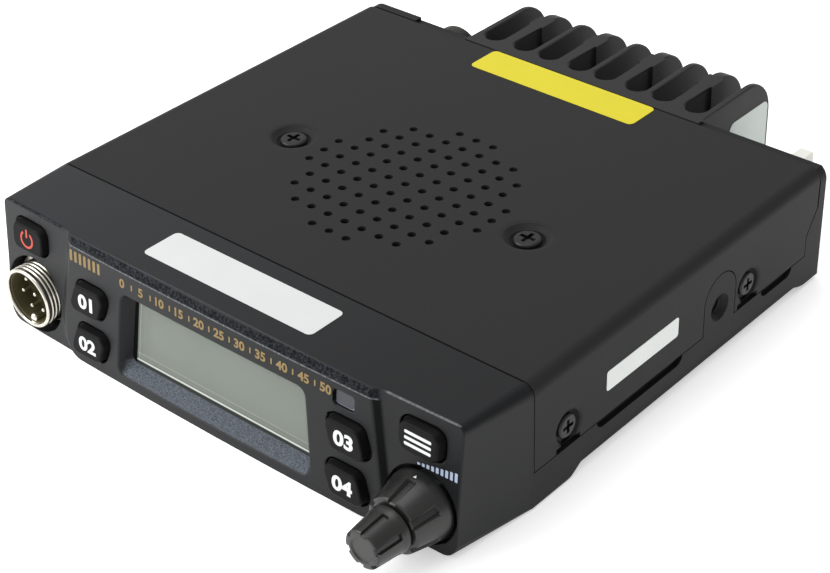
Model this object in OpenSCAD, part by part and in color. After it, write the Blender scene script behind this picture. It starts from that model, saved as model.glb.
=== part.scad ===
// Mobile VHF radio: a shallow die-cast chassis under a bent sheet cover, with a
// moulded front panel, a finned heat sink behind and concentric control knobs.
// The origin is the centre of the front foot's resting face.
// +X is to the right seen from the front, +Y to the rear and +Z up.

/* [Case] */
// Width of the case
case_w = 140; // [138:1:156]
// Height of the case
case_h = 31.1; // [30.6:0.1:36]
// Depth of the case from the panel seam to the rear face
case_d = 108.4; // [107:0.2:124]
// Depth of the front foot
front_foot_d = 9.6; // [8:0.2:11]
// Height of the arch between the feet
arch_h = 4.1; // [2.5:0.1:4.6]
// Depth of each slope of the arch
arch_slope_d = 10.6; // [8:0.2:12]
// Depth of the low rear edge
rear_edge_d = 5.4; // [4:0.2:7]
// Height of the rear edge above the resting plane
rear_edge_z = 1.2; // [0.6:0.1:2]
// Thickness of the chassis floor
floor_t = 2.2; // [1.6:0.1:2.6]
// Thickness of the chassis side walls
wall_t = 2.4; // [2:0.1:3]
// Thickness of the chassis front wall
front_wall_t = 2.2; // [1.8:0.1:3]
// Thickness of the chassis rear wall
rear_wall_t = 2.5; // [2:0.1:3]
// Height of the chassis side walls
wall_h = 22; // [21.5:0.5:24]

/* [Cover] */
// Thickness of the cover sheet
sheet_t = 1; // [0.8:0.1:1.2]
// Outer radius of the cover's bends
bend_r = 3; // [2:0.1:4]
// Height of the cover's lower edges
split_z = 9.6; // [9:0.1:9.7]
// Fitting gap between the cover and the chassis walls
cover_gap = 0.1; // [0.05:0.05:0.2]
// Open joint along the cover's cut edges
joint_gap = 0.25; // [0.15:0.05:0.4]
// Outer radius of a dimple in the top
top_dimple_r = 5.4; // [4.6:0.1:5.6]
// Outer radius of a dimple in the sides
dimple_r = 4.5; // [4.2:0.1:4.6]
// Radius of the flat seat in a dimple
dimple_seat_r = 3.4; // [3.2:0.1:3.6]
// Depth of the two dimples in the top
dimple_depth = 2; // [1.8:0.1:2.3]
// Depth of the four dimples in the sides
side_dimple_depth = 1.3; // [1:0.1:1.5]
// Pitch of the speaker grille holes
grille_pitch = 5.05; // [4.4:0.05:5.2]
// Radius of a grille hole
grille_hole_r = 1; // [0.7:0.05:1.3]
// Distance of the grille centre behind the seam
grille_y = 41.84; // [39:0.2:46]
// Distance of each top screw from the middle
top_screw_x = 35.25; // [34.75:0.25:38]
// Distance of the front side screws behind the seam
side_screw_front = 11.3; // [10.5:0.1:13]
// Distance of the rear side screws behind the seam
side_screw_rear = 77.2; // [77:0.2:80]
// Height of the side screws
side_screw_z = 14.4; // [14.3:0.1:15]
// Width of the slot under each side screw
edge_slot_w = 8; // [6:0.2:9]
// Height of the slot under each side screw
edge_slot_h = 1.2; // [0.8:0.1:1.4]

/* [Side mounts] */
// Distance of the side mounting holes behind the seam
mount_y = 65.9; // [65.4:0.1:66.4]
// Height of the side mounting holes
mount_z = 14.3; // [13.6:0.1:15]
// Wall radius of the tapped M5 holes
mount_hole_r = 2.1; // [2:0.05:2.2]
// Usable depth of the tapped holes
mount_hole_d = 8.7; // [7:0.1:9]
// Radius of the chamfered mouth
mount_mouth_r = 3.4; // [3:0.1:3.8]
// Width of the round-topped boss around each hole
mount_boss_w = 12; // [11:0.2:12.6]
// Height of the boss's crown
mount_boss_h = 23; // [22:0.2:24]

/* [Heat sink] */
// Width of the heat sink
sink_w = 72; // [66:1:78]
// Depth of the heat sink
sink_d = 30; // [26:0.5:34]
// Thickness of a plain fin
fin_t = 1.8; // [1.4:0.1:2.2]
// Thickness of a screw-post fin
post_fin_t = 3.4; // [3.2:0.1:3.8]
// Thickness of the web in front of the slots
sink_web_t = 1.3; // [1.2:0.1:1.6]
// Radius of the fins' upper rear corners
fin_corner_r = 10; // [6:0.5:12]
// Width of the post in every second fin
fin_post_w = 4.4; // [4:0.1:5.6]
// Length of the post in every second fin
fin_post_d = 5.6; // [4:0.1:6]
// Distance of the posts behind the case
fin_post_y = 14.6; // [10:0.1:15]

/* [Front panel] */
// Reach of the wing faces in front of the seam at their foot
wing_reach = 22; // [21.6:0.1:23]
// Amount by which the centre block stands proud
block_proud = 1.05; // [0.8:0.05:1.4]
// Lean of the front face in degrees
face_lean = 5.785; // [4.985:0.1:6.485]
// Radius of the gentle bow across the front
bow_r = 1760; // [1600:20:2400]
// Narrowing of each side from the seam to the front
side_taper = 2.5; // [1.5:0.1:2.8]
// Radius of the wings' upper corners at the front
wing_top_r = 1.6; // [1:0.1:2]
// Radius of the panel's lower corners at the front
panel_foot_r = 3.6; // [2.5:0.1:4]
// Radius of the lower corners from the seam to the rear
chassis_foot_r = 0.8; // [0.5:0.1:1.5]
// Wall thickness of the front panel
panel_wall = 2; // [1.8:0.1:2.2]
// Sideways offset of the centre block
block_x = 1.1; // [0.8:0.1:1.3]
// Distance of the centre block's upper corners from the sides
block_top_inset = 25.8; // [25.4:0.1:26.2]
// Distance of the centre block's foot from the sides
block_foot_inset = 22.6; // [22.4:0.1:23]
// Run of the slope beside the centre block
flank_run = 1.9; // [1.2:0.1:2]
// Radius of the centre block's lower corners
block_foot_r = 4.8; // [3:0.1:6]
// Height of the wide bevel above the centre block
bevel_h = 2.5; // [1.5:0.1:3]

/* [Display] */
// Sideways offset of the display
lens_x = 0.8; // [0.4:0.1:1]
// Distance of the lens opening's foot from the sides
lens_inset = 42.5; // [42.4:0.1:43.2]
// Inward lean of the opening's sides over its height
lens_slant = 1.6; // [1:0.1:1.8]
// Distance of the lens opening's upper edge below the top
lens_drop = 7.9; // [7.7:0.1:8.9]
// Height of the opening's lower edge on the face
lens_z = 5.2; // [5.1:0.1:5.4]
// Depth of the lens below the face of the block
lens_depth = 3.2; // [2.8:0.1:3.4]
// Thickness of the lens
lens_t = 1.5; // [1.2:0.1:2]
// Run of the sloping ledge below the lens
ledge_run = 3.1; // [2.4:0.1:3.2]
// Run of the sloping cheeks beside the lens
cheek_run = 1.9; // [1.2:0.1:2]
// Overlap of the lens behind its opening
lens_lap = 0.8; // [0.6:0.1:0.9]
// Thickness of the display glass
glass_t = 2.4; // [1.8:0.1:3]

/* [Keys] */
// Sideways offset of the middle between the key columns
key_mid_x = 1.65; // [1.4:0.05:1.8]
// Distance of the key columns from the sides
key_col_inset = 31.4; // [31.2:0.1:31.6]
// Height of the upper keys on the face
key_upper_z = 17.45; // [17.3:0.05:17.8]
// Height of the lower keys on the face
key_lower_z = 6.6; // [6.5:0.05:6.7]
// Width of the four centre keys
key_w = 10.2; // [9.8:0.1:10.4]
// Height of the four centre keys
key_h = 7.7; // [7:0.1:7.8]
// Outward lean of the centre keys over their height
key_lean = 1.1; // [0:0.1:1.2]
// Distance of the power and function keys from the sides
wing_key_inset = 11.85; // [11.7:0.05:12]
// Height of the power and function keys
wing_key_z = 24.4; // [24.2:0.1:24.5]
// Width of the power and function keys
wing_key_w = 10.8; // [10.2:0.1:11]
// Height of the power and function keys
wing_key_h = 7.3; // [7:0.1:7.4]
// Corner radius of the keys
key_r = 2.3; // [1.6:0.1:2.4]
// Amount by which the keys stand proud of the face
key_proud = 1.6; // [1.2:0.05:1.8]
// Draw of a key's sides towards its top
key_draft = 0.5; // [0.3:0.05:0.7]
// Clearance round a key
key_gap = 0.3; // [0.2:0.05:0.35]
// Travel of a key
key_travel = 0.8; // [0.5:0.1:0.9]
// Spare gap below a pressed key
key_spare = 0.2; // [0.1:0.05:0.3]

/* [Microphone socket] */
// Distance of the microphone socket from the side
mic_inset = 11.6; // [11.4:0.1:11.8]
// Height of the microphone socket
mic_z = 9.5; // [9.45:0.05:9.7]
// Radius of the round recess
mic_recess_r = 9.2; // [9:0.05:9.25]
// Depth of the recess behind the wing face
mic_recess_d = 6; // [5.4:0.1:6.2]
// Outer radius of the threaded shell
mic_shell_r = 7.5; // [7.2:0.05:7.6]
// Bore radius of the shell
mic_bore_r = 6.5; // [6.3:0.05:6.6]
// Reach of the shell's rim in front of the wing face
mic_reach = 2.5; // [2.2:0.1:3]
// Radius of the ring nut that clamps the shell
mic_ring_r = 8.7; // [8.4:0.1:8.8]
// Depth of the insulator's face below the rim
mic_well_d = 5.4; // [5.1:0.1:5.8]
// Radius of the ring of contact pins
mic_pin_ring_r = 4.1; // [3.8:0.1:4.8]
// Radius of a contact pin
mic_pin_r = 0.55; // [0.4:0.05:0.7]
// Length of a pin in the well
mic_pin_len = 3.4; // [2.4:0.1:3.8]

/* [Knobs] */
// Distance of the knobs from the side
knob_inset = 11.6; // [11.4:0.1:11.8]
// Height of the knobs
knob_z = 9; // [8.95:0.05:9.3]
// Radius of the knob recess
knob_recess_r = 8.7; // [8.6:0.05:8.75]
// Depth of the knob recess behind the wing face
knob_recess_d = 3; // [2.8:0.1:3.2]
// Radius of the outer knob at its foot
outer_knob_r = 8.1; // [7.8:0.05:8.15]
// Radius of the outer knob at its end
outer_knob_end_r = 6.4; // [6.2:0.1:6.8]
// Length of the outer knob
outer_knob_len = 8.9; // [8:0.1:10]
// Radius of the inner knob at its foot
inner_knob_r = 5.3; // [5:0.1:5.5]
// Radius of the inner knob at its end
inner_knob_end_r = 4.4; // [4.2:0.1:4.8]
// Length of the inner knob
inner_knob_len = 8.3; // [7:0.1:10]
// Running gap between the two knobs
knob_gap = 0.6; // [0.5:0.1:0.8]
// Radius of the outer shaft
outer_shaft_r = 3; // [2.8:0.05:3.1]
// Radius of the inner shaft
inner_shaft_r = 1.75; // [1.6:0.05:1.9]
// Running clearance of the shafts
shaft_gap = 0.05; // [0.03:0.01:0.08]

/* [Rear sockets] */
// Distance of the antenna socket from the side
antenna_inset = 18.5; // [18:0.1:19]
// Height of the antenna and power sockets
socket_z = 15.6; // [15:0.1:16.2]
// Outer radius of the antenna socket's thread
antenna_r = 7.9; // [7.6:0.05:8]
// Length of the antenna socket's thread
antenna_len = 12; // [10:0.5:14]
// Distance of the power inlet from the side
power_inset = 17; // [16:0.1:18]
// Width of the power inlet
power_w = 16; // [15:0.2:18]
// Height of the power inlet
power_h = 10; // [9.6:0.2:11]
// Reach of the power inlet behind the case
power_len = 14.5; // [14:0.5:18]
// Width of the rib that keys the power inlet
power_rib_w = 3.8; // [3:0.1:5]
// Height of that rib above the inlet
power_rib_h = 2.8; // [2:0.1:3.2]
// Sideways offset of that rib
power_rib_x = 3.2; // [2:0.1:4]

/* [Boards] */
// Thickness of the circuit boards
board_t = 1.6; // [1.2:0.1:1.8]
// Height of the board posts above the floor
post_h = 3; // [2.6:0.1:3.2]
// Distance of the control board in front of the seam
control_gap = 4; // [3.6:0.1:4.2]

/* [Screws] */
// Shank radius of all screws
shank_r = 1.25; // [1.1:0.05:1.3]
// Head radius of all screws
head_r = 2.8; // [2.6:0.1:3]
// Head height of the cover screws
head_h = 1.5; // [1.2:0.1:1.6]
// Fitting gap of fixed pieces in their holes
fit_gap = 0.05; // [0.03:0.01:0.1]

/* [Hidden] */
$fn = 64;

// Facets of the very large bow
bow_fn = 1440;
// Overrun that lets a cut pass its face
over = 1;
half_w = case_w / 2;
seam_y = -front_foot_d / 2;
rear_y = seam_y + case_d;
rear_wall_y = rear_y - rear_wall_t;
cover_end_y = rear_wall_y - joint_gap;
cover_d = cover_end_y - seam_y;
lean = tan(face_lean);
inner_half = half_w - sheet_t - cover_gap;
under_cover_z = case_h - sheet_t;
floor_top_z = arch_h + floor_t;
hole_r = shank_r + fit_gap;

// Columns on the two wings
mic_x = mic_inset - half_w;
knob_x = half_w - knob_inset;
wing_key_x = half_w - wing_key_inset;

// Centre block, display and key columns
block_top_half = half_w - block_top_inset;
block_foot_half = half_w - block_foot_inset;
lens_half = half_w - lens_inset;
lens_h = case_h - lens_drop - lens_z;
key_col = half_w - key_col_inset;

// Wing face at the knob column, bowed faces at the middle, flat inner wall face
wing_y = seam_y - wing_reach;
bow_y = wing_y - knob_x * knob_x / (2 * bow_r);
block_y = bow_y - block_proud;
inner_face_y = wing_y + panel_wall;
bevel_z = case_h - bevel_h;

// Front to rear places inside the panel
control_back_y = seam_y - control_gap;
control_front_y = control_back_y - board_t;
cavity_half = half_w - panel_wall - side_taper;
cavity_r = 1;
control_half = cavity_half - 1;
control_low_z = panel_wall + 1;
control_high_z = case_h - panel_wall - 0.7;
low_post_y = control_front_y - 6;
switch_h = 3.5;
plunger_h = 1.2;
plunger_r = 1.6;
switch_w = 6;
stem_r = 2;
stem_end_y = control_front_y - switch_h - plunger_h - key_travel - key_spare;
flange_t = 1.2;
flange_lap = 0.9;
flange_clear = 0.4;

// Microphone socket from its rim to its tail
cup_wall = 1.6;
mic_face_y = wing_y + lean * mic_z;
mic_rim_y = mic_face_y - mic_reach;
mic_floor_y = mic_face_y + mic_recess_d;
mic_floor_back_y = mic_floor_y + cup_wall;
mic_ring_t = 1.5;
mic_flange_t = 1.6;
mic_flange_r = 9.4;
mic_tail_r = mic_bore_r + 0.45;
mic_back_y = mic_floor_back_y + mic_flange_t + 1.8;
mic_seat_y = mic_rim_y + mic_well_d;
mic_ring_pins = 6;

// Potentiometer and its concentric shafts
knob_face_y = wing_y + lean * knob_z;
knob_floor_y = knob_face_y + knob_recess_d;
knob_floor_back_y = knob_floor_y + cup_wall;
pot_w = 13;
pot_front_y = knob_floor_back_y;
bushing_r = 4.2;
pot_nut_t = 1.6;
pot_nut_r = 6;
bushing_front_y = knob_floor_y - pot_nut_t - 0.3;
outer_knob_back_y = bushing_front_y - 0.5;
outer_knob_front_y = outer_knob_back_y - outer_knob_len;
inner_knob_back_y = outer_knob_front_y - knob_gap;
inner_knob_front_y = inner_knob_back_y - inner_knob_len;
knob_end_wall = 2;
outer_shaft_back_y = pot_front_y + 3;
outer_shaft_front_y = outer_knob_front_y + 0.6;
inner_shaft_back_y = pot_front_y + 6;
inner_shaft_front_y = inner_knob_front_y + knob_end_wall;

// Light pipe beside the display
led_room = bevel_z - key_upper_z - key_h / 2 - key_gap - flange_lap;
led_x = key_mid_x + key_col - 1.45;
led_z = bevel_z - 0.557 * led_room;
led_w = 5.2;
led_h = 0.574 * led_room;
led_sink = 0.9;

// Screws that hold the panel and the control board
panel_screw_len = 6.5;
panel_head_h = 1.2;
top_screw_len = 6;
side_screw_len = 7;
main_screw_len = 4;
panel_boss_r = 2.6;
panel_high_x = half_w - 23;
panel_high_z = case_h - 4.2;
panel_low_x = lens_half + 3.7;
panel_low_z = 5.8;
panel_rib_w = 1.2;
board_post_x = lens_half - 5.5;
board_post_z = case_h - 4.4;
board_post_r = 2.1;
board_head_r = 1.9;
board_screw_len = 5;

// Main board and what stands on it
main_half = half_w - 15.5;
main_board_z = floor_top_z + post_h;
main_board_top = main_board_z + board_t;
main_board_y = seam_y + 7;
main_board_end = rear_wall_y - 6.5;
main_post_x = main_half - 6;
main_post_ys = [seam_y + front_foot_d + arch_slope_d + 5, rear_y - rear_edge_d - arch_slope_d - 6];
main_post_r = 2.8;
rf_w = 44;
rf_d = 10;
rf_h = 7.5;
ribbon_w = 22;
ribbon_t = 0.3;
ribbon_z = 17;
plug_h = 3;
plug_d = 4;
plug_lap = 2;
plug_set = 3;
can_w = 44;
can_d = 26;
can_h = 4.5;
can_t = 0.5;
cap_r = 4;
cap_h = 9;
cap_pitch = 10;
cap_set = 30;
cap_inset = 16;
filter_w = 10;
filter_d = 16;
filter_h = 6;
filter_set = 34;
filter_inset = 12;

// Speaker under the grille, from the gasket down
speaker_y = seam_y + grille_y;
bracket_t = 1;
speaker_flange_t = 1;
bracket_top = case_h - dimple_depth - sheet_t;
speaker_r = 27.5;
basket_r = 23.5;
basket_d = 4.4;
basket_t = 0.8;
magnet_r = 14;
magnet_h = 4.4;
gasket_in_r = 24.6;
cone_d = 2.6;
cone_cap_r = 5;
cone_t = 0.4;
bracket_ring_r = 29;
bracket_ear_w = 9;

// Heat sink
fin_count = 9;
fin_pitch = (sink_w - fin_t) / (fin_count - 1);
slot_w = fin_pitch - (fin_t + post_fin_t) / 2;
sink_screw_x = sink_w / 2 - fin_t / 2 - fin_pitch;
sink_screw_zs = [8, case_h - 7];
sink_screw_len = 6;

// Grille rows are clipped to a round outline, in pitches from the centre
grille_span = 5;
grille_limit = 5.2;

// Side details
side_screw_ys = [seam_y + side_screw_front, seam_y + side_screw_rear];
notch_y = cover_end_y - 4.2;
notch_low_z = 15;
notch_high_z = 21;
vent_h = 2.3;
vent_spans = [[seam_y + 21, seam_y + 52], [seam_y + 83, seam_y + 96]];
mount_boss_y = seam_y + mount_y;
mount_mouth_d = mount_mouth_r - mount_hole_r;
mount_boss_d = mount_hole_d + mount_mouth_d + 2;

// Rear sockets
antenna_x = antenna_inset - half_w;
antenna_neck_r = 6;
antenna_flange_r = 10;
antenna_flange_t = 1.5;
antenna_bore_r = 6.2;
antenna_bore_d = 7;
antenna_contact_r = 2.6;
power_x = half_w - power_inset;
power_wall = 1.5;
power_floor_t = 4;
power_neck_d = rear_wall_t + 1;
blade_w = 0.8;
blade_h = 4;
blade_x = 3;
blade_len = 6;

function edge_normal(a, b) = [b[1] - a[1], a[0] - b[0]] / norm(b - a);
function reversed(list) = [for (i = [len(list) - 1:-1:0]) list[i]];

// Corner centres of an upright four-sided outline whose upper half width differs
function quad_centres(low, high, z0, z1, r) = [
    [r - low, z0 + r], [low - r, z0 + r], [high - r, z1 - r], [r - high, z1 - r]
];

// Soft slope of eight short steps between two heights
function slope(y0, z0, y1, z1) = [for (i = [0:8])
    [y0 + (y1 - y0) * i / 8, z0 + (z1 - z0) * (1 - cos(180 * i / 8)) / 2]];

// Side view of the underside: front foot, arch and low rear edge
function underside(lift) = concat(
    [[seam_y, lift]],
    slope(seam_y + front_foot_d, lift, seam_y + front_foot_d + arch_slope_d, arch_h + lift),
    slope(rear_y - rear_edge_d - arch_slope_d, arch_h + lift, rear_y - rear_edge_d, rear_edge_z + lift),
    [[rear_y, rear_edge_z + lift]]
);

// Four-sided outline with round corners: the list gives the corner centres, anticlockwise
module soft_quad(p, r) {
    polygon([for (i = [0:3]) for (q = [p[i], p[(i + 1) % 4]])
        q + r * edge_normal(p[i], p[(i + 1) % 4])]);
    for (q = p)
        translate(q) circle(r);
}

module soft_rect(w, h, r) {
    soft_quad(quad_centres(w / 2, w / 2, -h / 2, h / 2, r), r);
}

// Front view of the case, standing on z = 0
module case_outline(w, h, top_r, foot_r) {
    x = w / 2;
    polygon([
        [foot_r - x, 0], [x - foot_r, 0], [x, foot_r], [x, h - top_r],
        [x - top_r, h], [top_r - x, h], [-x, h - top_r], [-x, foot_r]
    ]);
    for (side = [-1, 1]) {
        translate([side * (x - top_r), h - top_r]) circle(top_r);
        translate([side * (x - foot_r), foot_r]) circle(foot_r);
    }
}

// Sweeps a front view outline from y0 to y1
module along_y(y0, y1) {
    translate([0, y1, 0]) rotate([90, 0, 0]) linear_extrude(y1 - y0) children();
}

// Sweeps a side view outline, drawn as (y, z), from x0 to x1
module along_x(x0, x1) {
    translate([x0, 0, 0]) rotate([90, 0, 90]) linear_extrude(x1 - x0) children();
}

module rod_y(x, z, y0, y1, r) {
    translate([x, y1, z]) rotate([90, 0, 0]) cylinder(r = r, h = y1 - y0);
}

module rod_x(y, z, x0, x1, r) {
    translate([x0, y, z]) rotate([0, 90, 0]) cylinder(r = r, h = x1 - x0);
}

module hex_y(x, z, y0, y1, r) {
    translate([x, y1, z]) rotate([90, 0, 0]) cylinder(r = r, h = y1 - y0, $fn = 6);
}

// Turned shape about a front to rear axis: its profile is (radius, distance in front of y0)
module turned_y(x, z, y0) {
    translate([x, y0, z]) rotate([90, 0, 0]) rotate_extrude() children();
}

// All that lies behind a plane which leans with the front face and meets y0 at z = 0
module behind_face(y0) {
    size = 2 * case_w;
    translate([0, y0, 0]) rotate([-face_lean, 0, 0])
        translate([-size / 2, 0, -size / 2]) cube(size);
}

// Leaning slab of even depth behind the same plane
module face_slab(y0, t) {
    size = 2 * case_w;
    translate([0, y0, 0]) rotate([-face_lean, 0, 0])
        translate([-size / 2, 0, -size / 2]) cube([size, t, size]);
}

// All that lies behind a bowed leaning face which meets y0 at its middle
module behind_bow(y0) {
    translate([0, y0, 0]) rotate([-face_lean, 0, 0])
        translate([0, bow_r, -case_h]) cylinder(r = bow_r, h = 4 * case_h, $fn = bow_fn);
}

// Leaning frame of the display: x from its middle, z up the face, y into the panel
module on_display() {
    translate([lens_x, block_y, 0]) rotate([-face_lean, 0, 0]) children();
}

module vent_cut(span) {
    translate([span[0] + vent_h, split_z - vent_h])
        square([span[1] - span[0] - 2 * vent_h, vent_h + over]);
    for (y = [span[0] + vent_h, span[1] - vent_h])
        translate([y, split_z]) circle(vent_h);
}

// Side view of the round-topped mounting boss, grown by a gap
module boss_outline(grow) {
    r = mount_boss_w / 2 + grow;
    crown_z = mount_boss_h - mount_boss_w / 2;
    translate([mount_boss_y - r, arch_h]) square([2 * r, crown_z - arch_h]);
    translate([mount_boss_y, crown_z]) circle(r);
}

// Side view of the rear lower corner that the cover leaves to the chassis
module rear_corner(gap) {
    polygon([
        [notch_y + gap, 0], [rear_y, 0], [rear_y, notch_high_z - gap],
        [cover_end_y, notch_high_z - gap], [notch_y + gap, notch_low_z - gap]
    ]);
}

module side_screw_places() {
    for (side = [-1, 1])
        for (y = side_screw_ys)
            translate([side * half_w, y, side_screw_z]) rotate([0, 90 * side, 0]) children();
}

module mount_places() {
    for (side = [-1, 1])
        translate([side * half_w, mount_boss_y, mount_z]) rotate([0, 90 * side, 0]) children();
}

module top_screw_places() {
    for (x = [-top_screw_x, top_screw_x])
        translate([x, speaker_y, case_h]) children();
}

module main_post_places() {
    for (x = [-main_post_x, main_post_x])
        for (y = main_post_ys)
            translate([x, y, 0]) children();
}

// Children stand on the front wall's rear face and point to the rear
module panel_screw_places() {
    for (side = [-1, 1]) {
        translate([lens_x + side * panel_low_x, seam_y, panel_low_z]) children();
        translate([side * panel_high_x, seam_y, panel_high_z]) children();
    }
}

module board_post_places() {
    for (x = [-board_post_x, board_post_x])
        translate([x, control_front_y, board_post_z]) children();
}

module sink_screw_places() {
    for (x = [-sink_screw_x, sink_screw_x])
        for (z = sink_screw_zs)
            translate([x, rear_wall_y, z]) children();
}

// Screw along +Z seated at z = 0: round head with a crossed recess, shank below
module pan_screw(len, height, r = head_r) {
    recess_w = r * 0.3;
    recess_d = height * 0.55;
    difference() {
        cylinder(r = r, h = height);
        for (a = [0, 90])
            rotate(a) translate([-r * 0.6, -recess_w / 2, height - recess_d])
                cube([r * 1.2, recess_w, recess_d + over]);
    }
    translate([0, 0, -len]) cylinder(r = shank_r, h = len);
}

// Side walls below the cover and behind it, with the bosses cast on them
module chassis_sides() {
    for (x = [-half_w, half_w - wall_t])
        along_x(x, x + wall_t) difference() {
            intersection() {
                polygon(concat(underside(0), [[rear_y, case_h], [seam_y, case_h]]));
                union() {
                    translate([seam_y, 0]) square([case_d, split_z - joint_gap]);
                    rear_corner(joint_gap);
                }
            }
            for (span = vent_spans)
                vent_cut(span);
        }
    for (x = [-inner_half, inner_half - wall_t])
        along_x(x, x + wall_t)
            translate([seam_y, floor_t / 2]) square([case_d - rear_wall_t / 2, wall_h - floor_t / 2]);
    for (x = [-half_w, half_w - mount_boss_d])
        along_x(x, x + mount_boss_d) boss_outline(0);
    side_screw_places() translate([0, 0, -sheet_t - cover_gap - 8]) cylinder(r = 4.4, h = 8);
}

// Die-cast tray with its feet, side bosses, front wall and rear wall
module chassis() {
    lip_low = 0.8;
    lip_x = 17;
    color("#2b2b2d") difference() {
        intersection() {
            along_y(seam_y, rear_y) case_outline(case_w, case_h, bend_r + 1, chassis_foot_r);
            union() {
                along_x(-half_w, half_w)
                    polygon(concat(underside(0), reversed(underside(floor_t))));
                chassis_sides();
                along_y(seam_y, seam_y + front_wall_t)
                    case_outline(2 * inner_half, under_cover_z - cover_gap, bend_r, panel_foot_r);
                translate([-half_w, rear_wall_y, rear_edge_z]) cube([case_w, rear_wall_t, case_h]);
                main_post_places() translate([0, 0, arch_h + floor_t / 2])
                    cylinder(r = main_post_r, h = post_h + floor_t / 2);
            }
        }
        side_screw_places() {
            translate([0, 0, -sheet_t - 2 * cover_gap - side_dimple_depth])
                cylinder(r = dimple_r + cover_gap, h = sheet_t + side_dimple_depth + over);
            translate([0, 0, -sheet_t - 9]) cylinder(r = hole_r, h = 9 + sheet_t);
        }
        mount_places() {
            translate([0, 0, -mount_mouth_d - mount_hole_d])
                cylinder(r = mount_hole_r, h = mount_mouth_d + mount_hole_d + over);
            translate([0, 0, -mount_mouth_d])
                cylinder(r1 = mount_hole_r, r2 = mount_mouth_r, h = mount_mouth_d);
        }
        main_post_places() translate([0, 0, main_board_z - 3.5]) cylinder(r = hole_r, h = 3.5 + over);
        panel_screw_places() rod_y(0, 0, -over, front_wall_t + over, hole_r);
        sink_screw_places() rod_y(0, 0, -over, rear_wall_t + over, hole_r);
        along_y(seam_y - over, seam_y + front_wall_t + over)
            translate([0, ribbon_z]) square([ribbon_w + 4, 7], center = true);
        rod_y(antenna_x, socket_z, rear_wall_y - over, rear_y + over, antenna_neck_r + fit_gap);
        along_y(rear_wall_y - over, rear_y + over) translate([power_x, socket_z])
            square([power_w, power_h] - 2 * (power_wall - fit_gap) * [1, 1], center = true);
        translate([lip_x - half_w, rear_wall_y - over, case_h - lip_low])
            cube([case_w, case_d, lip_low + over]);
    }
}

// Dished seat for a screw head, pressed down from z = 0
module dimple(depth, r) {
    brim = slope(dimple_seat_r, -depth, r, 0);
    below = [0, -sheet_t];
    rotate_extrude() polygon(concat(
        [[0, -depth]], brim, [for (q = reversed(brim)) q + below], [[0, -depth - sheet_t]]
    ));
}

// Bent sheet cover with its grille, dimples and cut-outs
module top_cover() {
    color("#303032") difference() {
        union() {
            difference() {
                along_y(seam_y, cover_end_y) difference() {
                    case_outline(case_w, case_h, bend_r, bend_r);
                    case_outline(case_w - 2 * sheet_t, under_cover_z, bend_r - sheet_t, bend_r);
                    translate([-case_w, -over]) square([2 * case_w, split_z + over]);
                }
                for (x = [-half_w, half_w - sheet_t])
                    along_x(x - over, x + sheet_t + over) {
                        boss_outline(joint_gap);
                        rear_corner(0);
                    }
                top_screw_places() translate([0, 0, -sheet_t - over])
                    cylinder(r = top_dimple_r, h = sheet_t + 2 * over);
                side_screw_places() translate([0, 0, -sheet_t - over])
                    cylinder(r = dimple_r, h = sheet_t + 2 * over);
                for (i = [-grille_span:grille_span])
                    for (j = [-grille_span:grille_span])
                        if (norm([i, j]) < grille_limit)
                            translate([i * grille_pitch, speaker_y + j * grille_pitch, under_cover_z - over])
                                cylinder(r = grille_hole_r, h = sheet_t + 2 * over);
            }
            top_screw_places() dimple(dimple_depth, top_dimple_r);
            side_screw_places() dimple(side_dimple_depth, dimple_r);
        }
        for (y = side_screw_ys)
            along_x(-half_w - over, half_w + over)
                translate([y - edge_slot_w / 2, split_z - over]) square([edge_slot_w, edge_slot_h + over]);
        top_screw_places() translate([0, 0, -dimple_depth - sheet_t - over])
            cylinder(r = hole_r, h = sheet_t + 2 * over);
        side_screw_places() translate([0, 0, -side_dimple_depth - sheet_t - over])
            cylinder(r = hole_r, h = sheet_t + 2 * over);
    }
}

// Block with round-ended slots between its upright fins
module finned_block() {
    difference() {
        along_x(-sink_w / 2, sink_w / 2) {
            translate([rear_y, 0]) square([sink_d - fin_corner_r, case_h]);
            translate([rear_y, 0]) square([sink_d, case_h - fin_corner_r]);
            translate([rear_y + sink_d - fin_corner_r, case_h - fin_corner_r]) circle(fin_corner_r);
        }
        for (i = [0:fin_count - 2]) {
            left_t = i % 2 == 0 ? fin_t : post_fin_t;
            x = fin_t / 2 - sink_w / 2 + i * fin_pitch + left_t / 2;
            slot_y = rear_y + sink_web_t + slot_w / 2;
            translate([x + slot_w / 2, slot_y, -over]) cylinder(r = slot_w / 2, h = case_h + 2 * over);
            translate([x, slot_y, -over]) cube([slot_w, sink_d, case_h + 2 * over]);
        }
    }
}

// Cast heat sink: every second fin carries an upright post, and the screws enter from the case
module heat_sink() {
    color("#262628") difference() {
        union() {
            finned_block();
            for (i = [1:2:fin_count - 2])
                translate([fin_t / 2 - sink_w / 2 + i * fin_pitch - fin_post_w / 2, rear_y + fin_post_y, 0])
                    cube([fin_post_w, fin_post_d, case_h]);
        }
        sink_screw_places() rod_y(0, 0, 0, sink_screw_len + over, hole_r);
    }
}

module top_screws() {
    color("#1b1b1c") top_screw_places() translate([0, 0, -dimple_depth]) pan_screw(top_screw_len, head_h);
}

module side_screws() {
    color("#1b1b1c") side_screw_places()
        translate([0, 0, -side_dimple_depth]) pan_screw(side_screw_len, panel_head_h);
}

module panel_screws() {
    color("silver") panel_screw_places() translate([0, front_wall_t, 0]) rotate([-90, 0, 0])
        pan_screw(panel_screw_len, panel_head_h);
}

module heat_sink_screws() {
    color("silver") sink_screw_places() rotate([90, 0, 0]) pan_screw(sink_screw_len, panel_head_h);
}

module board_screws() {
    color("silver") main_post_places() translate([0, 0, main_board_top])
        pan_screw(main_screw_len, panel_head_h);
}

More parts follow.
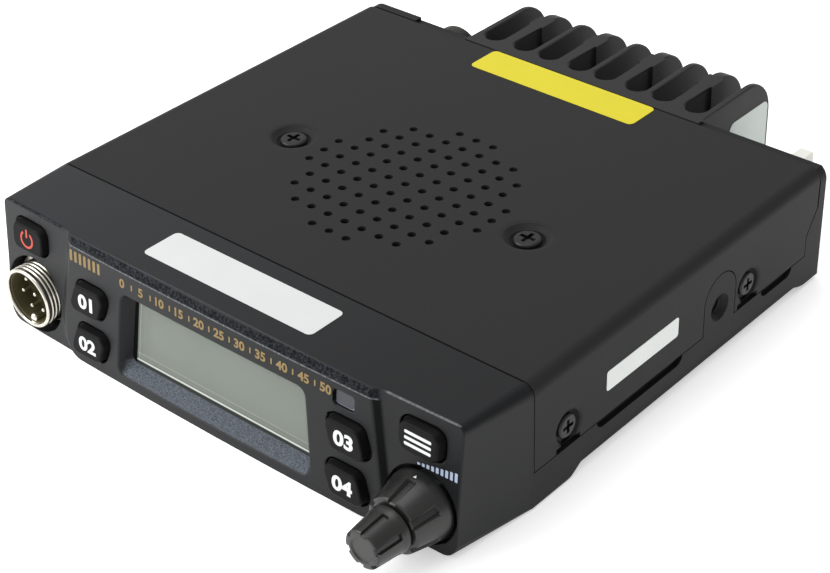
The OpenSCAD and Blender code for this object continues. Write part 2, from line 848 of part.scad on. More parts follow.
module control_board_screws() {
    color("silver") board_post_places() translate([0, board_t, 0]) rotate([-90, 0, 0])
        pan_screw(board_screw_len, panel_head_h, board_head_r);
}

// Corner centres of a centre key: both its sides lean outwards towards the foot
function centre_key(side, z) = let (
    x = key_w / 2 - key_r,
    h = key_h / 2 - key_r,
    mid = key_mid_x + side * key_col,
    s = side * key_lean / 2
) [[mid - x + s, z - h], [mid + x + s, z - h], [mid + x - s, z + h], [mid - x - s, z + h]];

function wing_key(side) = let (
    x = wing_key_w / 2 - key_r,
    h = wing_key_h / 2 - key_r
) [for (q = [[-x, -h], [x, -h], [x, h], [-x, h]]) q + [side * wing_key_x, wing_key_z]];

function middle(p) = (p[0] + p[1] + p[2] + p[3]) / 4;

// Leaning face at the place of a key
function key_face_y(p, y0) = y0 + pow(middle(p)[0], 2) / (2 * bow_r);

// Rubber key: drafted cap, straight neck in the panel, retaining flange and stem
module key_body(p, y0) {
    face_y = key_face_y(p, y0);
    at = middle(p);
    far = 2 * case_h;
    skin = 0.02;
    root = 0.85;
    color("#18181a") {
        hull() {
            intersection() {
                along_y(face_y - far, face_y + far) soft_quad(p, key_r - key_draft, $fn = 32);
                face_slab(face_y - key_proud, skin);
            }
            intersection() {
                along_y(face_y - far, face_y + far) soft_quad(p, key_r - 3 * skin, $fn = 32);
                face_slab(face_y + root, skin);
            }
        }
        along_y(face_y + lean * at[1] + root / 2, inner_face_y + lean * at[1] + flange_t / 2)
            soft_quad(p, key_r);
        difference() {
            intersection() {
                along_y(face_y - far, face_y + far) soft_quad(p, key_r + key_gap + flange_lap);
                face_slab(inner_face_y, flange_t);
                translate([-half_w, block_y, panel_wall + flange_clear])
                    cube([case_w, far, case_h - 2 * (panel_wall + flange_clear)]);
            }
            rod_y(mic_x, mic_z, block_y, seam_y, mic_recess_r + cup_wall + flange_clear);
            rod_y(knob_x, knob_z, block_y, seam_y, knob_recess_r + cup_wall + flange_clear);
        }
        rod_y(at[0], at[1], inner_face_y + lean * at[1] + flange_t / 2, stem_end_y, stem_r);
    }
}

module key_power() {
    key_body(wing_key(-1), bow_y);
}

module key_function() {
    key_body(wing_key(1), bow_y);
}

module key_upper_left() {
    key_body(centre_key(-1, key_upper_z), block_y);
}

module key_lower_left() {
    key_body(centre_key(-1, key_lower_z), block_y);
}

module key_upper_right() {
    key_body(centre_key(1, key_upper_z), block_y);
}

module key_lower_right() {
    key_body(centre_key(1, key_lower_z), block_y);
}

all_keys = [
    wing_key(-1), wing_key(1), centre_key(-1, key_upper_z), centre_key(-1, key_lower_z),
    centre_key(1, key_upper_z), centre_key(1, key_lower_z)
];

// Front view of the centre block, its sides moved out by a distance
module block_outline(grow) {
    low = block_foot_half + grow;
    high = block_top_half + grow;
    r = block_foot_r;
    translate([block_x, 0]) {
        polygon([
            [r - low, 0], [low - r, 0], [low, r], [low, 2 * r],
            [high, case_h], [-high, case_h], [-low, 2 * r], [-low, r]
        ]);
        for (side = [-1, 1])
            translate([side * (low - r), r]) circle(r);
    }
}

// Body of the centre block: its sides slope out from the face to the wings
module block_body() {
    far = 2 * case_h;
    skin = 0.02;
    slope = flank_run / block_proud;
    side_d = pow(block_foot_half, 2) / (2 * bow_r);
    front_d = 0.4;
    back_d = inner_face_y - block_y;
    hull() {
        intersection() {
            along_y(block_y - far, block_y + far) block_outline(-slope * (side_d + front_d), $fn = 32);
            face_slab(block_y - front_d, skin);
        }
        intersection() {
            along_y(block_y - far, block_y + far) block_outline(slope * (back_d - side_d), $fn = 32);
            face_slab(block_y + back_d, skin);
        }
    }
}

// Body of the wings: it narrows from the seam to the front, and its corners grow rounder there
module wing_body() {
    skin = 0.02;
    front_y = wing_y - 2;
    front_w = case_w - 2 * side_taper * (seam_y - front_y) / (seam_y - wing_y);
    hull() {
        along_y(front_y, front_y + skin)
            case_outline(front_w, case_h, wing_top_r, panel_foot_r, $fn = 48);
        along_y(seam_y - skin, seam_y)
            case_outline(case_w, case_h, bend_r, chassis_foot_r, $fn = 48);
    }
}

// Outer form of the panel: bowed wings with a proud centre block
module panel_form() {
    top_y = bow_y + lean * case_h;
    edge_y = block_y + lean * bevel_z;
    out_y = block_y - 5;
    out_z = bevel_z - (edge_y - out_y) * bevel_h / (top_y - edge_y);
    intersection() {
        wing_body();
        behind_bow(bow_y);
    }
    intersection() {
        block_body();
        behind_bow(block_y);
        along_x(-half_w, half_w) polygon([
            [seam_y, 0], [out_y, 0], [out_y, out_z], [top_y, case_h], [seam_y, case_h]
        ]);
    }
}

// Hollow of the panel around its cups, bosses and posts
module panel_cavity() {
    difference() {
        intersection() {
            translate([0, 0, panel_wall]) along_y(block_y, seam_y + over)
                case_outline(2 * cavity_half, case_h - 2 * panel_wall, cavity_r, cavity_r);
            behind_face(inner_face_y);
        }
        rod_y(mic_x, mic_z, block_y, mic_floor_back_y, mic_recess_r + cup_wall);
        rod_y(knob_x, knob_z, block_y, knob_floor_back_y, knob_recess_r + cup_wall);
        for (side = [-1, 1]) {
            rod_y(side * panel_high_x, panel_high_z, block_y, seam_y, panel_boss_r);
            rod_y(lens_x + side * panel_low_x, panel_low_z, low_post_y, seam_y, panel_boss_r);
            translate([lens_x + side * panel_low_x - panel_rib_w / 2, low_post_y, over])
                cube([panel_rib_w, seam_y - low_post_y, panel_low_z - over]);
            rod_y(side * board_post_x, board_post_z, block_y, control_front_y, board_post_r);
        }
    }
}

module lens_outline(grow) {
    r = 1.5;
    soft_quad(quad_centres(lens_half + grow, lens_half - lens_slant + grow,
        lens_z - grow, lens_z + lens_h + grow, r), r);
}

// Display opening that narrows from the face to the lens
module display_opening() {
    r = 2.6;
    skin = 0.02;
    out = 1 / 3;
    cheek = cheek_run * (1 + out);
    hull() {
        along_y(-lens_depth * out, skin - lens_depth * out)
            soft_quad(quad_centres(lens_half + cheek, lens_half - lens_slant + cheek,
                lens_z - ledge_run * (1 + out), lens_z + lens_h + 0.4, r), r, $fn = 32);
        along_y(lens_depth, lens_depth + skin) lens_outline(0, $fn = 32);
    }
}

// Moulded front panel
module front_panel() {
    color("#48494b") difference() {
        panel_form();
        panel_cavity();
        for (p = all_keys)
            along_y(block_y - over, seam_y - control_gap) soft_quad(p, key_r + key_gap);
        on_display() {
            display_opening();
            along_y(lens_depth, lens_depth + lens_t) lens_outline(lens_lap + fit_gap);
        }
        along_y(block_y - over, low_post_y) translate([led_x, led_z])
            soft_rect(led_w + 2 * fit_gap, led_h + 2 * fit_gap, 0.8);
        rod_y(mic_x, mic_z, block_y - over, mic_floor_y, mic_recess_r);
        rod_y(mic_x, mic_z, block_y - over, mic_floor_back_y + over, mic_shell_r + fit_gap);
        rod_y(knob_x, knob_z, block_y - over, knob_floor_y, knob_recess_r);
        rod_y(knob_x, knob_z, block_y - over, knob_floor_back_y + over, bushing_r + fit_gap);
        panel_screw_places() rod_y(0, 0, front_wall_t - panel_screw_len - over, over, hole_r);
        board_post_places() rod_y(0, 0, board_t - board_screw_len - 0.4, over, hole_r);
    }
}

module lcd_lens() {
    color("#9aa396", 0.6) on_display()
        along_y(lens_depth, lens_depth + lens_t) lens_outline(lens_lap);
}

module lcd_glass() {
    color("#8e978a") on_display()
        along_y(lens_depth + lens_t, lens_depth + lens_t + glass_t) lens_outline(-1);
}

// White frame between the display glass and the control board
module lcd_holder() {
    frame_t = 1.6;
    low_z = lens_z + 1.2;
    high_z = lens_z + lens_h - 0.4;
    half = lens_half - lens_slant - 0.6;
    color("#e4e4dd") intersection() {
        along_y(block_y, control_front_y) translate([lens_x, (low_z + high_z) / 2]) difference() {
            square([2 * half, high_z - low_z], center = true);
            square([2 * (half - frame_t), high_z - low_z - 2 * frame_t], center = true);
        }
        behind_face(block_y + (lens_depth + lens_t + glass_t) / cos(face_lean));
    }
}

module led_light_pipe() {
    color("#aeb8c4") intersection() {
        along_y(block_y, control_front_y - 2) translate([led_x, led_z]) soft_rect(led_w, led_h, 0.8);
        behind_face(block_y + led_sink);
    }
}

module status_led() {
    color("#d8d8cc") along_y(control_front_y - 2, control_front_y)
        translate([led_x, led_z]) square([3, 2], center = true);
}

module control_board() {
    color("#2d5b3a") difference() {
        along_y(control_front_y, control_back_y) translate([-control_half, control_low_z])
            square([2 * control_half, control_high_z - control_low_z]);
        panel_screw_places() rod_y(0, 0, -control_gap - 2 * board_t, over, panel_boss_r + 0.3);
        board_post_places() rod_y(0, 0, -over, board_t + over, hole_r);
    }
}

module tact_switches() {
    color("#202022") for (p = all_keys) {
        at = middle(p);
        along_y(control_front_y - switch_h, control_front_y)
            translate(at) square(switch_w, center = true);
        rod_y(at[0], at[1], control_front_y - switch_h - plunger_h, control_front_y - switch_h, plunger_r);
    }
}

// Dual potentiometer with its threaded bushing
module pot_body() {
    color("#8d8f92") difference() {
        union() {
            along_y(pot_front_y, control_front_y)
                translate([knob_x, knob_z + 0.8]) square(pot_w, center = true);
            rod_y(knob_x, knob_z, bushing_front_y, pot_front_y + over, bushing_r);
        }
        rod_y(knob_x, knob_z, bushing_front_y - over, outer_shaft_back_y + 0.2, outer_shaft_r + shaft_gap);
        rod_y(knob_x, knob_z, bushing_front_y - over, inner_shaft_back_y + 0.2, inner_shaft_r + shaft_gap);
    }
}

module pot_nut() {
    color("silver") difference() {
        hex_y(knob_x, knob_z, knob_floor_y - pot_nut_t, knob_floor_y, pot_nut_r);
        rod_y(knob_x, knob_z, knob_floor_y - pot_nut_t - over, knob_floor_y + over, bushing_r + fit_gap);
    }
}

module squelch_shaft() {
    color("silver") difference() {
        rod_y(knob_x, knob_z, outer_shaft_front_y, outer_shaft_back_y, outer_shaft_r);
        rod_y(knob_x, knob_z, outer_shaft_front_y - over, outer_shaft_back_y + over,
            inner_shaft_r + shaft_gap);
    }
}

module volume_shaft() {
    color("silver") rod_y(knob_x, knob_z, inner_shaft_front_y, inner_shaft_back_y, inner_shaft_r);
}

// Outer knob: tapered skirted ring with six grooves round its grip
module squelch_knob() {
    hub_d = 3;
    color("#1d1d1f") difference() {
        turned_y(knob_x, knob_z, outer_knob_back_y) polygon([
            [outer_shaft_r + fit_gap, hub_d], [pot_nut_r + 0.5, hub_d],
            [pot_nut_r + 0.5, 0], [outer_knob_r, 0],
            [outer_knob_r, 1], [outer_knob_end_r, outer_knob_len], [outer_shaft_r + fit_gap, outer_knob_len]
        ]);
        for (a = [30:60:330])
            translate([knob_x, outer_knob_back_y - 2.4, knob_z]) rotate([0, a, 0])
                translate([outer_knob_r + 0.3, 0, 0])
                    rotate([90, 0, -11]) cylinder(r = 0.9, h = 2 * outer_knob_len);
    }
}

// Inner knob: tapered cap with six finger flutes and a dished end
module volume_knob() {
    dish_r = inner_knob_end_r - 0.9;
    color("#1d1d1f") difference() {
        turned_y(knob_x, knob_z, inner_knob_back_y) polygon([
            [inner_shaft_r + fit_gap, 0], [inner_knob_r, 0], [inner_knob_end_r, inner_knob_len],
            [dish_r, inner_knob_len], [dish_r - 0.5, inner_knob_len - 0.5], [0, inner_knob_len - 0.5],
            [0, inner_knob_len - knob_end_wall], [inner_shaft_r + fit_gap, inner_knob_len - knob_end_wall]
        ]);
        for (a = [-21:60:279])
            translate([knob_x, inner_knob_back_y - 1, knob_z]) rotate([0, a, 0])
                translate([inner_knob_r + 1.1, 0, 0])
                    rotate([90, 0, -6]) cylinder(r = 1.8, h = 2 * inner_knob_len);
    }
}

// Threaded metal shell of the microphone socket, with a trimmed flange behind the recess
module mic_shell() {
    thread_d = 0.35;
    pitch = 1;
    length = mic_back_y - mic_rim_y;
    tail = mic_back_y - mic_floor_back_y;
    turns = floor((mic_floor_y - mic_rim_y - 0.6) / pitch);
    color("#a9a9a4") {
        difference() {
            turned_y(mic_x, mic_z, mic_back_y) polygon([
                [mic_bore_r, 0], [mic_tail_r, 0], [mic_tail_r, tail], [mic_shell_r, tail],
                [mic_shell_r, length - 0.5], [mic_shell_r - 0.5, length], [mic_bore_r, length]
            ]);
            for (i = [1:turns])
                turned_y(mic_x, mic_z, mic_rim_y + 0.6 + i * pitch)
                    polygon([
                        [mic_shell_r - thread_d, 0], [mic_shell_r + over, -over], [mic_shell_r + over, over]
                    ]);
        }
        intersection() {
            difference() {
                rod_y(mic_x, mic_z, mic_floor_back_y, mic_floor_back_y + mic_flange_t, mic_flange_r);
                rod_y(mic_x, mic_z, mic_floor_back_y - over, mic_back_y, mic_bore_r);
            }
            translate([fit_gap - cavity_half, block_y, panel_wall + fit_gap]) cube(case_w);
        }
    }
}

module mic_pin_places() {
    first = 25;
    translate([mic_x, 0, mic_z]) {
        children();
        for (i = [0:mic_ring_pins - 1])
            rotate([0, first + i * 360 / mic_ring_pins, 0]) translate([0, 0, mic_pin_ring_r]) children();
    }
}

// Insulator that fills the bottom of the shell around the pins
module mic_insulator() {
    color("#1a1a1b") difference() {
        rod_y(mic_x, mic_z, mic_seat_y, mic_back_y, mic_bore_r - fit_gap);
        mic_pin_places() rod_y(0, 0, mic_seat_y - over, mic_back_y + over, mic_pin_r + fit_gap);
    }
}

module mic_pins() {
    color("#cfc9b0") mic_pin_places() rod_y(0, 0, mic_seat_y - mic_pin_len, control_front_y, mic_pin_r);
}

// Slotted ring nut on the shell, tightened against the floor of the recess
module mic_nut() {
    slot = 1.2;
    color("silver") difference() {
        rod_y(mic_x, mic_z, mic_floor_y - mic_ring_t, mic_floor_y, mic_ring_r);
        rod_y(mic_x, mic_z, mic_floor_y - mic_ring_t - over, mic_floor_y + over, mic_shell_r + fit_gap);
        translate([mic_x - 2 * mic_ring_r, mic_floor_y - mic_ring_t - over, mic_z - slot / 2])
            cube([4 * mic_ring_r, over + mic_ring_t / 2, slot]);
    }
}

module main_board() {
    color("#2d5b3a") difference() {
        translate([-main_half, main_board_y, main_board_z])
            cube([2 * main_half, main_board_end - main_board_y, board_t]);
        main_post_places() translate([0, 0, main_board_z - over])
            cylinder(r = hole_r, h = board_t + 2 * over);
    }
}

// Power amplifier block: it stands on the board and bears on the rear wall
module rf_power_module() {
    color("#3a3a3c") translate([-rf_w / 2, rear_wall_y - rf_d, main_board_top]) cube([rf_w, rf_d, rf_h]);
}

module shield_can() {
    can_y = main_board_end - can_d - rf_d;
    color("silver") translate([-can_w / 2, can_y, main_board_top]) difference() {
        cube([can_w, can_d, can_h]);
        translate([can_t, can_t, -over]) cube([can_w - 2 * can_t, can_d - 2 * can_t, can_h - can_t + over]);
    }
}

module capacitors() {
    color("#2a3550") for (i = [0:2])
        translate([main_half - cap_inset, main_board_y + cap_set + i * cap_pitch, main_board_top])
            cylinder(r = cap_r, h = cap_h);
}

module channel_filter() {
    color("silver") translate([filter_inset - main_half, main_board_y + filter_set, main_board_top])
        cube([filter_w, filter_d, filter_h]);
}

// Flat cable from the control board through the front wall to the main board
module ribbon_cable() {
    drop_y = main_board_y;
    low_z = main_board_top + plug_h / 2;
    color("#d9d6cc") along_x(-ribbon_w / 2, ribbon_w / 2) {
        translate([control_back_y + plug_h, ribbon_z]) square([drop_y - control_back_y - plug_h, ribbon_t]);
        translate([drop_y - ribbon_t, low_z]) square([ribbon_t, ribbon_z + ribbon_t - low_z]);
        translate([drop_y - ribbon_t, low_z]) square([plug_set + ribbon_t, ribbon_t]);
    }
}

module cable_connectors() {
    color("#efece0") {
        translate([-ribbon_w / 2 - plug_lap, control_back_y, ribbon_z + ribbon_t / 2 - plug_d / 2])
            cube([ribbon_w + 2 * plug_lap, plug_h, plug_d]);
        translate([-ribbon_w / 2 - plug_lap, main_board_y + plug_set, main_board_top])
            cube([ribbon_w + 2 * plug_lap, plug_d, plug_h]);
    }
}

// Pressed steel basket with its flange
module speaker_frame() {
    neck_r = 15;
    color("#4a4a4c") translate([0, speaker_y, bracket_top]) rotate_extrude() polygon([
        [0, -basket_d - basket_t], [neck_r, -basket_d - basket_t], [basket_r, 0], [speaker_r, 0],
        [speaker_r, speaker_flange_t], [basket_r - basket_t, speaker_flange_t],
        [neck_r - basket_t, -basket_d],
        [0, -basket_d]
    ]);
}

module speaker_magnet() {
    color("#333335") translate([0, speaker_y, bracket_top - basket_d - basket_t - magnet_h])
        cylinder(r = magnet_r, h = magnet_h);
}

// Paper cone with a rolled rim that lies on the flange
module speaker_cone() {
    rim_z = speaker_flange_t;
    rim_r = gasket_in_r - cone_t / 2;
    roll_r = basket_r - cone_cap_r * cone_t;
    color("#26221e") translate([0, speaker_y, bracket_top]) rotate_extrude() polygon([
        [0, -cone_d], [cone_cap_r, -cone_d], [roll_r, rim_z], [rim_r, rim_z], [rim_r, rim_z + cone_t],
        [roll_r - cone_t, rim_z + cone_t], [cone_cap_r - cone_t / 2, cone_t - cone_d], [0, cone_t - cone_d]
    ]);
}

module speaker_gasket() {
    color("#1c1c1c") translate([0, speaker_y, bracket_top + speaker_flange_t]) difference() {
        cylinder(r = speaker_r, h = under_cover_z - bracket_top - speaker_flange_t);
        translate([0, 0, -over]) cylinder(r = gasket_in_r, h = dimple_depth + 2 * over);
    }
}

// Steel strap that clamps the speaker: its ears take the two top screws
module speaker_bracket() {
    color("#77787a") translate([0, speaker_y, bracket_top - bracket_t]) difference() {
        union() {
            cylinder(r = bracket_ring_r, h = bracket_t);
            for (side = [-1, 1]) {
                translate([side * top_screw_x / 2 - top_screw_x / 2, -bracket_ear_w / 2, 0])
                    cube([top_screw_x, bracket_ear_w, bracket_t]);
                translate([side * top_screw_x, 0, -2]) cylinder(r = bracket_ear_w / 2, h = bracket_t + 2);
            }
        }
        translate([0, 0, -over]) cylinder(r = basket_r + 0.6, h = bracket_t + 2 * over);
        for (side = [-1, 1])
            translate([side * top_screw_x, 0, -2 - over]) cylinder(r = hole_r, h = bracket_t + 2 + 2 * over);
    }
}

// Threaded coaxial socket with a flange on the rear wall
module antenna_socket() {
    end_y = rear_y + antenna_flange_t + antenna_len;
    thread_d = 0.4;
    color("#b4b4b0") difference() {
        union() {
            rod_y(antenna_x, socket_z, rear_wall_y - 1, end_y, antenna_neck_r);
            rod_y(antenna_x, socket_z, rear_y, rear_y + antenna_flange_t, antenna_flange_r);
            rod_y(antenna_x, socket_z, rear_y, end_y, antenna_r);
        }
        for (i = [1:floor(antenna_len - 1)])
            turned_y(antenna_x, socket_z, rear_y + antenna_flange_t + i)
                polygon([[antenna_r - thread_d, 0], [antenna_r + over, -over], [antenna_r + over, over]]);
        rod_y(antenna_x, socket_z, end_y - antenna_bore_d, end_y + over, antenna_bore_r);
        rod_y(antenna_x, socket_z, rear_wall_y - 2, end_y, antenna_neck_r - 1.5);
    }
}

module antenna_insulator() {
    end_y = rear_y + antenna_flange_t + antenna_len;
    floor_y = end_y - antenna_bore_d;
    color("#ece9df") difference() {
        union() {
            rod_y(antenna_x, socket_z, rear_wall_y - 1, floor_y, antenna_neck_r - 1.5 - fit_gap);
            rod_y(antenna_x, socket_z, floor_y, floor_y + 2, antenna_bore_r - fit_gap);
        }
        rod_y(antenna_x, socket_z, rear_wall_y - 2, end_y, antenna_contact_r + fit_gap);
    }
}

module antenna_contact() {
    end_y = rear_y + antenna_flange_t + antenna_len;
    color("#c9b26a") difference() {
        rod_y(antenna_x, socket_z, rear_wall_y - 3, end_y - 1.5, antenna_contact_r);
        rod_y(antenna_x, socket_z, end_y - 9, end_y, antenna_contact_r - 0.6);
    }
}

// White nylon power socket whose neck passes the rear wall
module power_inlet() {
    color("#ecebe4") translate([power_x, 0, 0]) difference() {
        union() {
            along_y(rear_y, rear_y + power_len) {
                translate([0, socket_z]) soft_rect(power_w, power_h, 1);
                translate([power_rib_x, socket_z + power_h / 2 + power_rib_h / 2 - 0.5])
                    soft_rect(power_rib_w, power_rib_h + 1, 0.4);
            }
            along_y(rear_y - power_neck_d, rear_y + over) translate([0, socket_z])
                square([power_w - 2 * power_wall, power_h - 2 * power_wall], center = true);
        }
        along_y(rear_y + power_floor_t, rear_y + power_len + over) translate([0, socket_z])
            square([power_w - 2 * power_wall, power_h - 2 * power_wall], center = true);
        for (x = [-blade_x, blade_x])
            along_y(rear_y - power_neck_d - over, rear_y + power_len) translate([x, socket_z])
                square([blade_w + 2 * fit_gap, blade_h + 2 * fit_gap], center = true);
    }
}

module power_contacts() {
    color("#c9b26a") for (x = [-blade_x, blade_x])
        along_y(rear_y - power_neck_d - 2, rear_y + power_floor_t + blade_len)
            translate([power_x + x, socket_z]) square([blade_w, blade_h], center = true);
}

front_panel();
lcd_lens();
lcd_glass();
lcd_holder();
led_light_pipe();
status_led();
key_power();
key_upper_left();
key_lower_left();
key_upper_right();
key_lower_right();
key_function();
control_board();
tact_switches();
control_board_screws();
pot_body();
pot_nut();
squelch_shaft();
squelch_knob();
volume_shaft();
volume_knob();
mic_shell();
mic_insulator();
mic_pins();
mic_nut();
chassis();
top_cover();
heat_sink();
panel_screws();
top_screws();
side_screws();
heat_sink_screws();
main_board();
board_screws();
rf_power_module();
shield_can();
capacitors();
channel_filter();
cable_connectors();
ribbon_cable();
speaker_frame();
speaker_magnet();
speaker_cone();
speaker_gasket();
speaker_bracket();
antenna_socket();
antenna_insulator();
antenna_contact();
power_inlet();
power_contacts();
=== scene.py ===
import math

import bmesh
import bpy
from mathutils import Matrix, Vector


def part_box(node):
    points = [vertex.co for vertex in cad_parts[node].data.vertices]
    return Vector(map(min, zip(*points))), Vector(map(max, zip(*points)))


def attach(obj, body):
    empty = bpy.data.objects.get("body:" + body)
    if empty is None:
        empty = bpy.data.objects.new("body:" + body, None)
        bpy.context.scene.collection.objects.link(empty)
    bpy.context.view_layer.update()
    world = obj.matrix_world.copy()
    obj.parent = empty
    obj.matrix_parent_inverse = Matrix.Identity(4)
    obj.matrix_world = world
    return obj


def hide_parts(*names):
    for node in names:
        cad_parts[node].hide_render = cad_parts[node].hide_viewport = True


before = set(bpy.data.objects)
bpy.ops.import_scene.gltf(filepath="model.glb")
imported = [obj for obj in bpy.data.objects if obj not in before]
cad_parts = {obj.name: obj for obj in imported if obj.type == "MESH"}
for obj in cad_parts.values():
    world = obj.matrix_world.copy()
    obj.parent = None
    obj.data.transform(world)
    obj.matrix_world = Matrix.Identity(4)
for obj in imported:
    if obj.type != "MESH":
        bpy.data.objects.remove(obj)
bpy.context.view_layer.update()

# Chassis
# A die-cast aluminium tray under a black paint with a fine grain. The feet, the vents, the
# tapped side bosses and the rear wall are all part of the one casting.


class Wire:
    """A socket inside a finish. Sums on it add Math nodes."""

    def __init__(self, finish, socket):
        self.finish = finish
        self.socket = socket

    def math(self, operation, first, second):
        return self.finish.node("ShaderNodeMath", {"operation": operation}, {0: first, 1: second})

    def __add__(self, other):
        return self.math("ADD", self, other)

    def __radd__(self, other):
        return self.math("ADD", other, self)

    def __sub__(self, other):
        return self.math("SUBTRACT", self, other)

    def __rsub__(self, other):
        return self.math("SUBTRACT", other, self)

    def __mul__(self, other):
        return self.math("MULTIPLY", self, other)

    def __truediv__(self, other):
        return self.math("DIVIDE", self, other)

    def between(self, low, high, soft=0.1):
        """1 from low to high, with soft ends."""
        return self.ramp(low - soft, low + soft) * self.ramp(high + soft, high - soft)

    def ramp(self, low, high):
        """0 at low, 1 at high, clamped."""
        inputs = {"Value": self, "From Min": low, "From Max": high}
        return self.finish.node("ShaderNodeMapRange", {"clamp": True}, inputs)


class Finish:
    """A material of one Principled shader, with lengths in millimetres on the piece."""

    def __init__(self, name):
        self.material = bpy.data.materials.new(name)
        self.material.use_nodes = True
        self.tree = self.material.node_tree
        self.shader = self.tree.nodes["Principled BSDF"]
        self.millimetres = None
        self.axes = None

    def node(self, kind, settings=None, inputs=None, output=0):
        made = self.tree.nodes.new(kind)
        for key, value in (settings or {}).items():
            setattr(made, key, value)
        for key, value in (inputs or {}).items():
            self.feed(made.inputs[key], value)
        return Wire(self, made.outputs[output])

    def feed(self, socket, value):
        if isinstance(value, Wire):
            self.tree.links.new(value.socket, socket)
        else:
            socket.default_value = value

    def place(self):
        """Object coordinates in millimetres."""
        if self.millimetres is None:
            at = self.node("ShaderNodeTexCoord", output=3)
            scale = {"Vector": at, "Scale": (1000, 1000, 1000)}
            self.millimetres = self.node("ShaderNodeMapping", {}, scale)
        return self.millimetres

    def along(self):
        """The three Object coordinates in millimetres."""
        if self.axes is None:
            split = self.node("ShaderNodeSeparateXYZ", {}, {0: self.place()})
            self.axes = [Wire(self, out) for out in split.socket.node.outputs]
        return self.axes

    def noise(self, size, detail=2.0, rough=0.5):
        """Noise about 0.5 whose grains measure about the given size."""
        inputs = {"Vector": self.place(), "Scale": 1 / size, "Detail": detail, "Roughness": rough}
        return self.node("ShaderNodeTexNoise", {}, inputs)

    def grains(self, size):
        """Distance from the middle of the nearest grain."""
        return self.node("ShaderNodeTexVoronoi", {}, {"Vector": self.place(), "Scale": 1 / size})

    def mix(self, factor, first, second):
        """Colour between two colours."""
        return self.node("ShaderNodeMix", {"data_type": "RGBA"}, {0: factor, 6: first, 7: second}, 2)

    def mark(self, name):
        """A number stored on the points of the mesh."""
        return self.node("ShaderNodeAttribute", {"attribute_name": name}, {}, 2)

    def bump(self, height, depth):
        """Bump of a height that runs from 0 to 1, with its depth in millimetres."""
        inputs = {"Height": height, "Strength": 1.0, "Distance": depth / 1000}
        return self.node("ShaderNodeBump", {}, inputs)

    def set(self, **sockets):
        for key, value in sockets.items():
            self.feed(self.shader.inputs[key.replace("_", " ")], value)
        return self


def shade(hex_code):
    """Linear colour of a screen colour."""
    parts = [int(hex_code[i:i + 2], 16) / 255 for i in (1, 3, 5)]
    return (*[c / 12.92 if c < 0.04045 else ((c + 0.055) / 1.055) ** 2.4 for c in parts], 1)


def coated(name, colour, worn, grain, depth, roughness, gloss=0.3):
    """Painted or moulded skin: fine grain, cloudy gloss, rare pale specks of dust and painted glints,
    paler rubbed edges that also paint edge highlights.
    """
    finish = Finish(name)
    cloud = finish.noise(25, 3)
    speck = finish.noise(grain, 2, 0.6)
    # Pale specks: dust, and painted glints standing in for light sparkling on the coat.
    dust_and_painted_glints = finish.grains(1.6).ramp(0.09, 0.03) * finish.noise(7, 1).ramp(0.55, 0.65)
    # Painted highlight: marked edges turn paler, for rubbed paint and for light catching the rounded
    # edges.
    rubbed_edge_highlight = finish.mark("edge") * finish.noise(1.2, 4, 0.7).ramp(0.25, 0.7)
    paler = [c * 1.3 for c in shade(colour)[:3]] + [1]
    tint = finish.mix(cloud * 0.4 + speck * 0.6, shade(colour), paler)
    finish.set(
        Base_Color=finish.mix(rubbed_edge_highlight * 0.6 + dust_and_painted_glints * 0.25, tint, shade(worn)),
        Roughness=roughness + (cloud - 0.5) * 0.1 + (speck - 0.5) * 0.12 - rubbed_edge_highlight * 0.1,
        Specular_IOR_Level=gloss,
        Normal=finish.bump(speck, depth),
    )
    return finish


def cad_copy(node):
    """A CAD node's shape in millimetres, its triangles joined into whole faces."""
    bm = bmesh.new()
    bm.from_mesh(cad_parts[node].data)
    bmesh.ops.scale(bm, vec=(1000, 1000, 1000), verts=bm.verts)
    bmesh.ops.remove_doubles(bm, verts=bm.verts, dist=0.002)
    bmesh.ops.dissolve_limit(bm, angle_limit=math.radians(0.4), verts=bm.verts, edges=bm.edges)
    return bm


def sharp(bm, least, where):
    """Edges that turn by at least some degrees and lie in the wanted place."""
    limit = math.radians(least)
    return [e for e in bm.edges if e.is_manifold and e.calc_face_angle() > limit and where(e)]


def middle(edge):
    return (edge.verts[0].co + edge.verts[1].co) / 2


def soften(bm, edges, width, segments=3, rub_and_highlight=1.0):
    """Rounds edges and marks the new faces for the rubbed look, a paler edge that also paints a
    highlight.
    """
    mark = bm.faces.layers.float.get("edge") or bm.faces.layers.float.new("edge")
    done = bmesh.ops.bevel(
        bm, geom=edges, offset=width, offset_type="OFFSET", affect="EDGES", segments=segments,
        profile=0.5, material=-1, clamp_overlap=False, loop_slide=False,
    )
    for face in done["faces"]:
        face[mark] = rub_and_highlight


def make(name, bm, body, finish, nodes=(), smooth=32):
    """Turns a bmesh in millimetres into a piece that rides on a body."""
    bmesh.ops.scale(bm, vec=(0.001, 0.001, 0.001), verts=bm.verts)
    mesh = bpy.data.meshes.new(name)
    bm.to_mesh(mesh)
    bm.free()
    mesh.shade_smooth()
    mesh.set_sharp_from_angle(angle=math.radians(smooth))
    mesh.materials.append(finish.material)
    piece = bpy.data.objects.new(name, mesh)
    bpy.context.scene.collection.objects.link(piece)
    flat_faces = piece.modifiers.new("flat_faces", "WEIGHTED_NORMAL")
    flat_faces.keep_sharp = True
    flat_faces.weight = 100
    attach(piece, body)
    if nodes:
        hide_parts(*nodes)
    return piece


def dress(finish, *nodes):
    """Gives CAD nodes that stay as they are a finish."""
    for node in nodes:
        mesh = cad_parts[node].data
        mesh.materials.clear()
        mesh.materials.append(finish.material)


def box_mm(node):
    low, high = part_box(node)
    return low * 1000, high * 1000


case_low, case_high = box_mm("chassis")
half_w = case_high.x
case_h = box_mm("top_cover")[1].z
seam_y = case_low.y
rear_y = case_high.y

chassis_paint = coated("chassis_paint", "#191919", "#4a4a48", 0.35, 0.03, 0.5, 0.14)
dress(chassis_paint, "chassis")


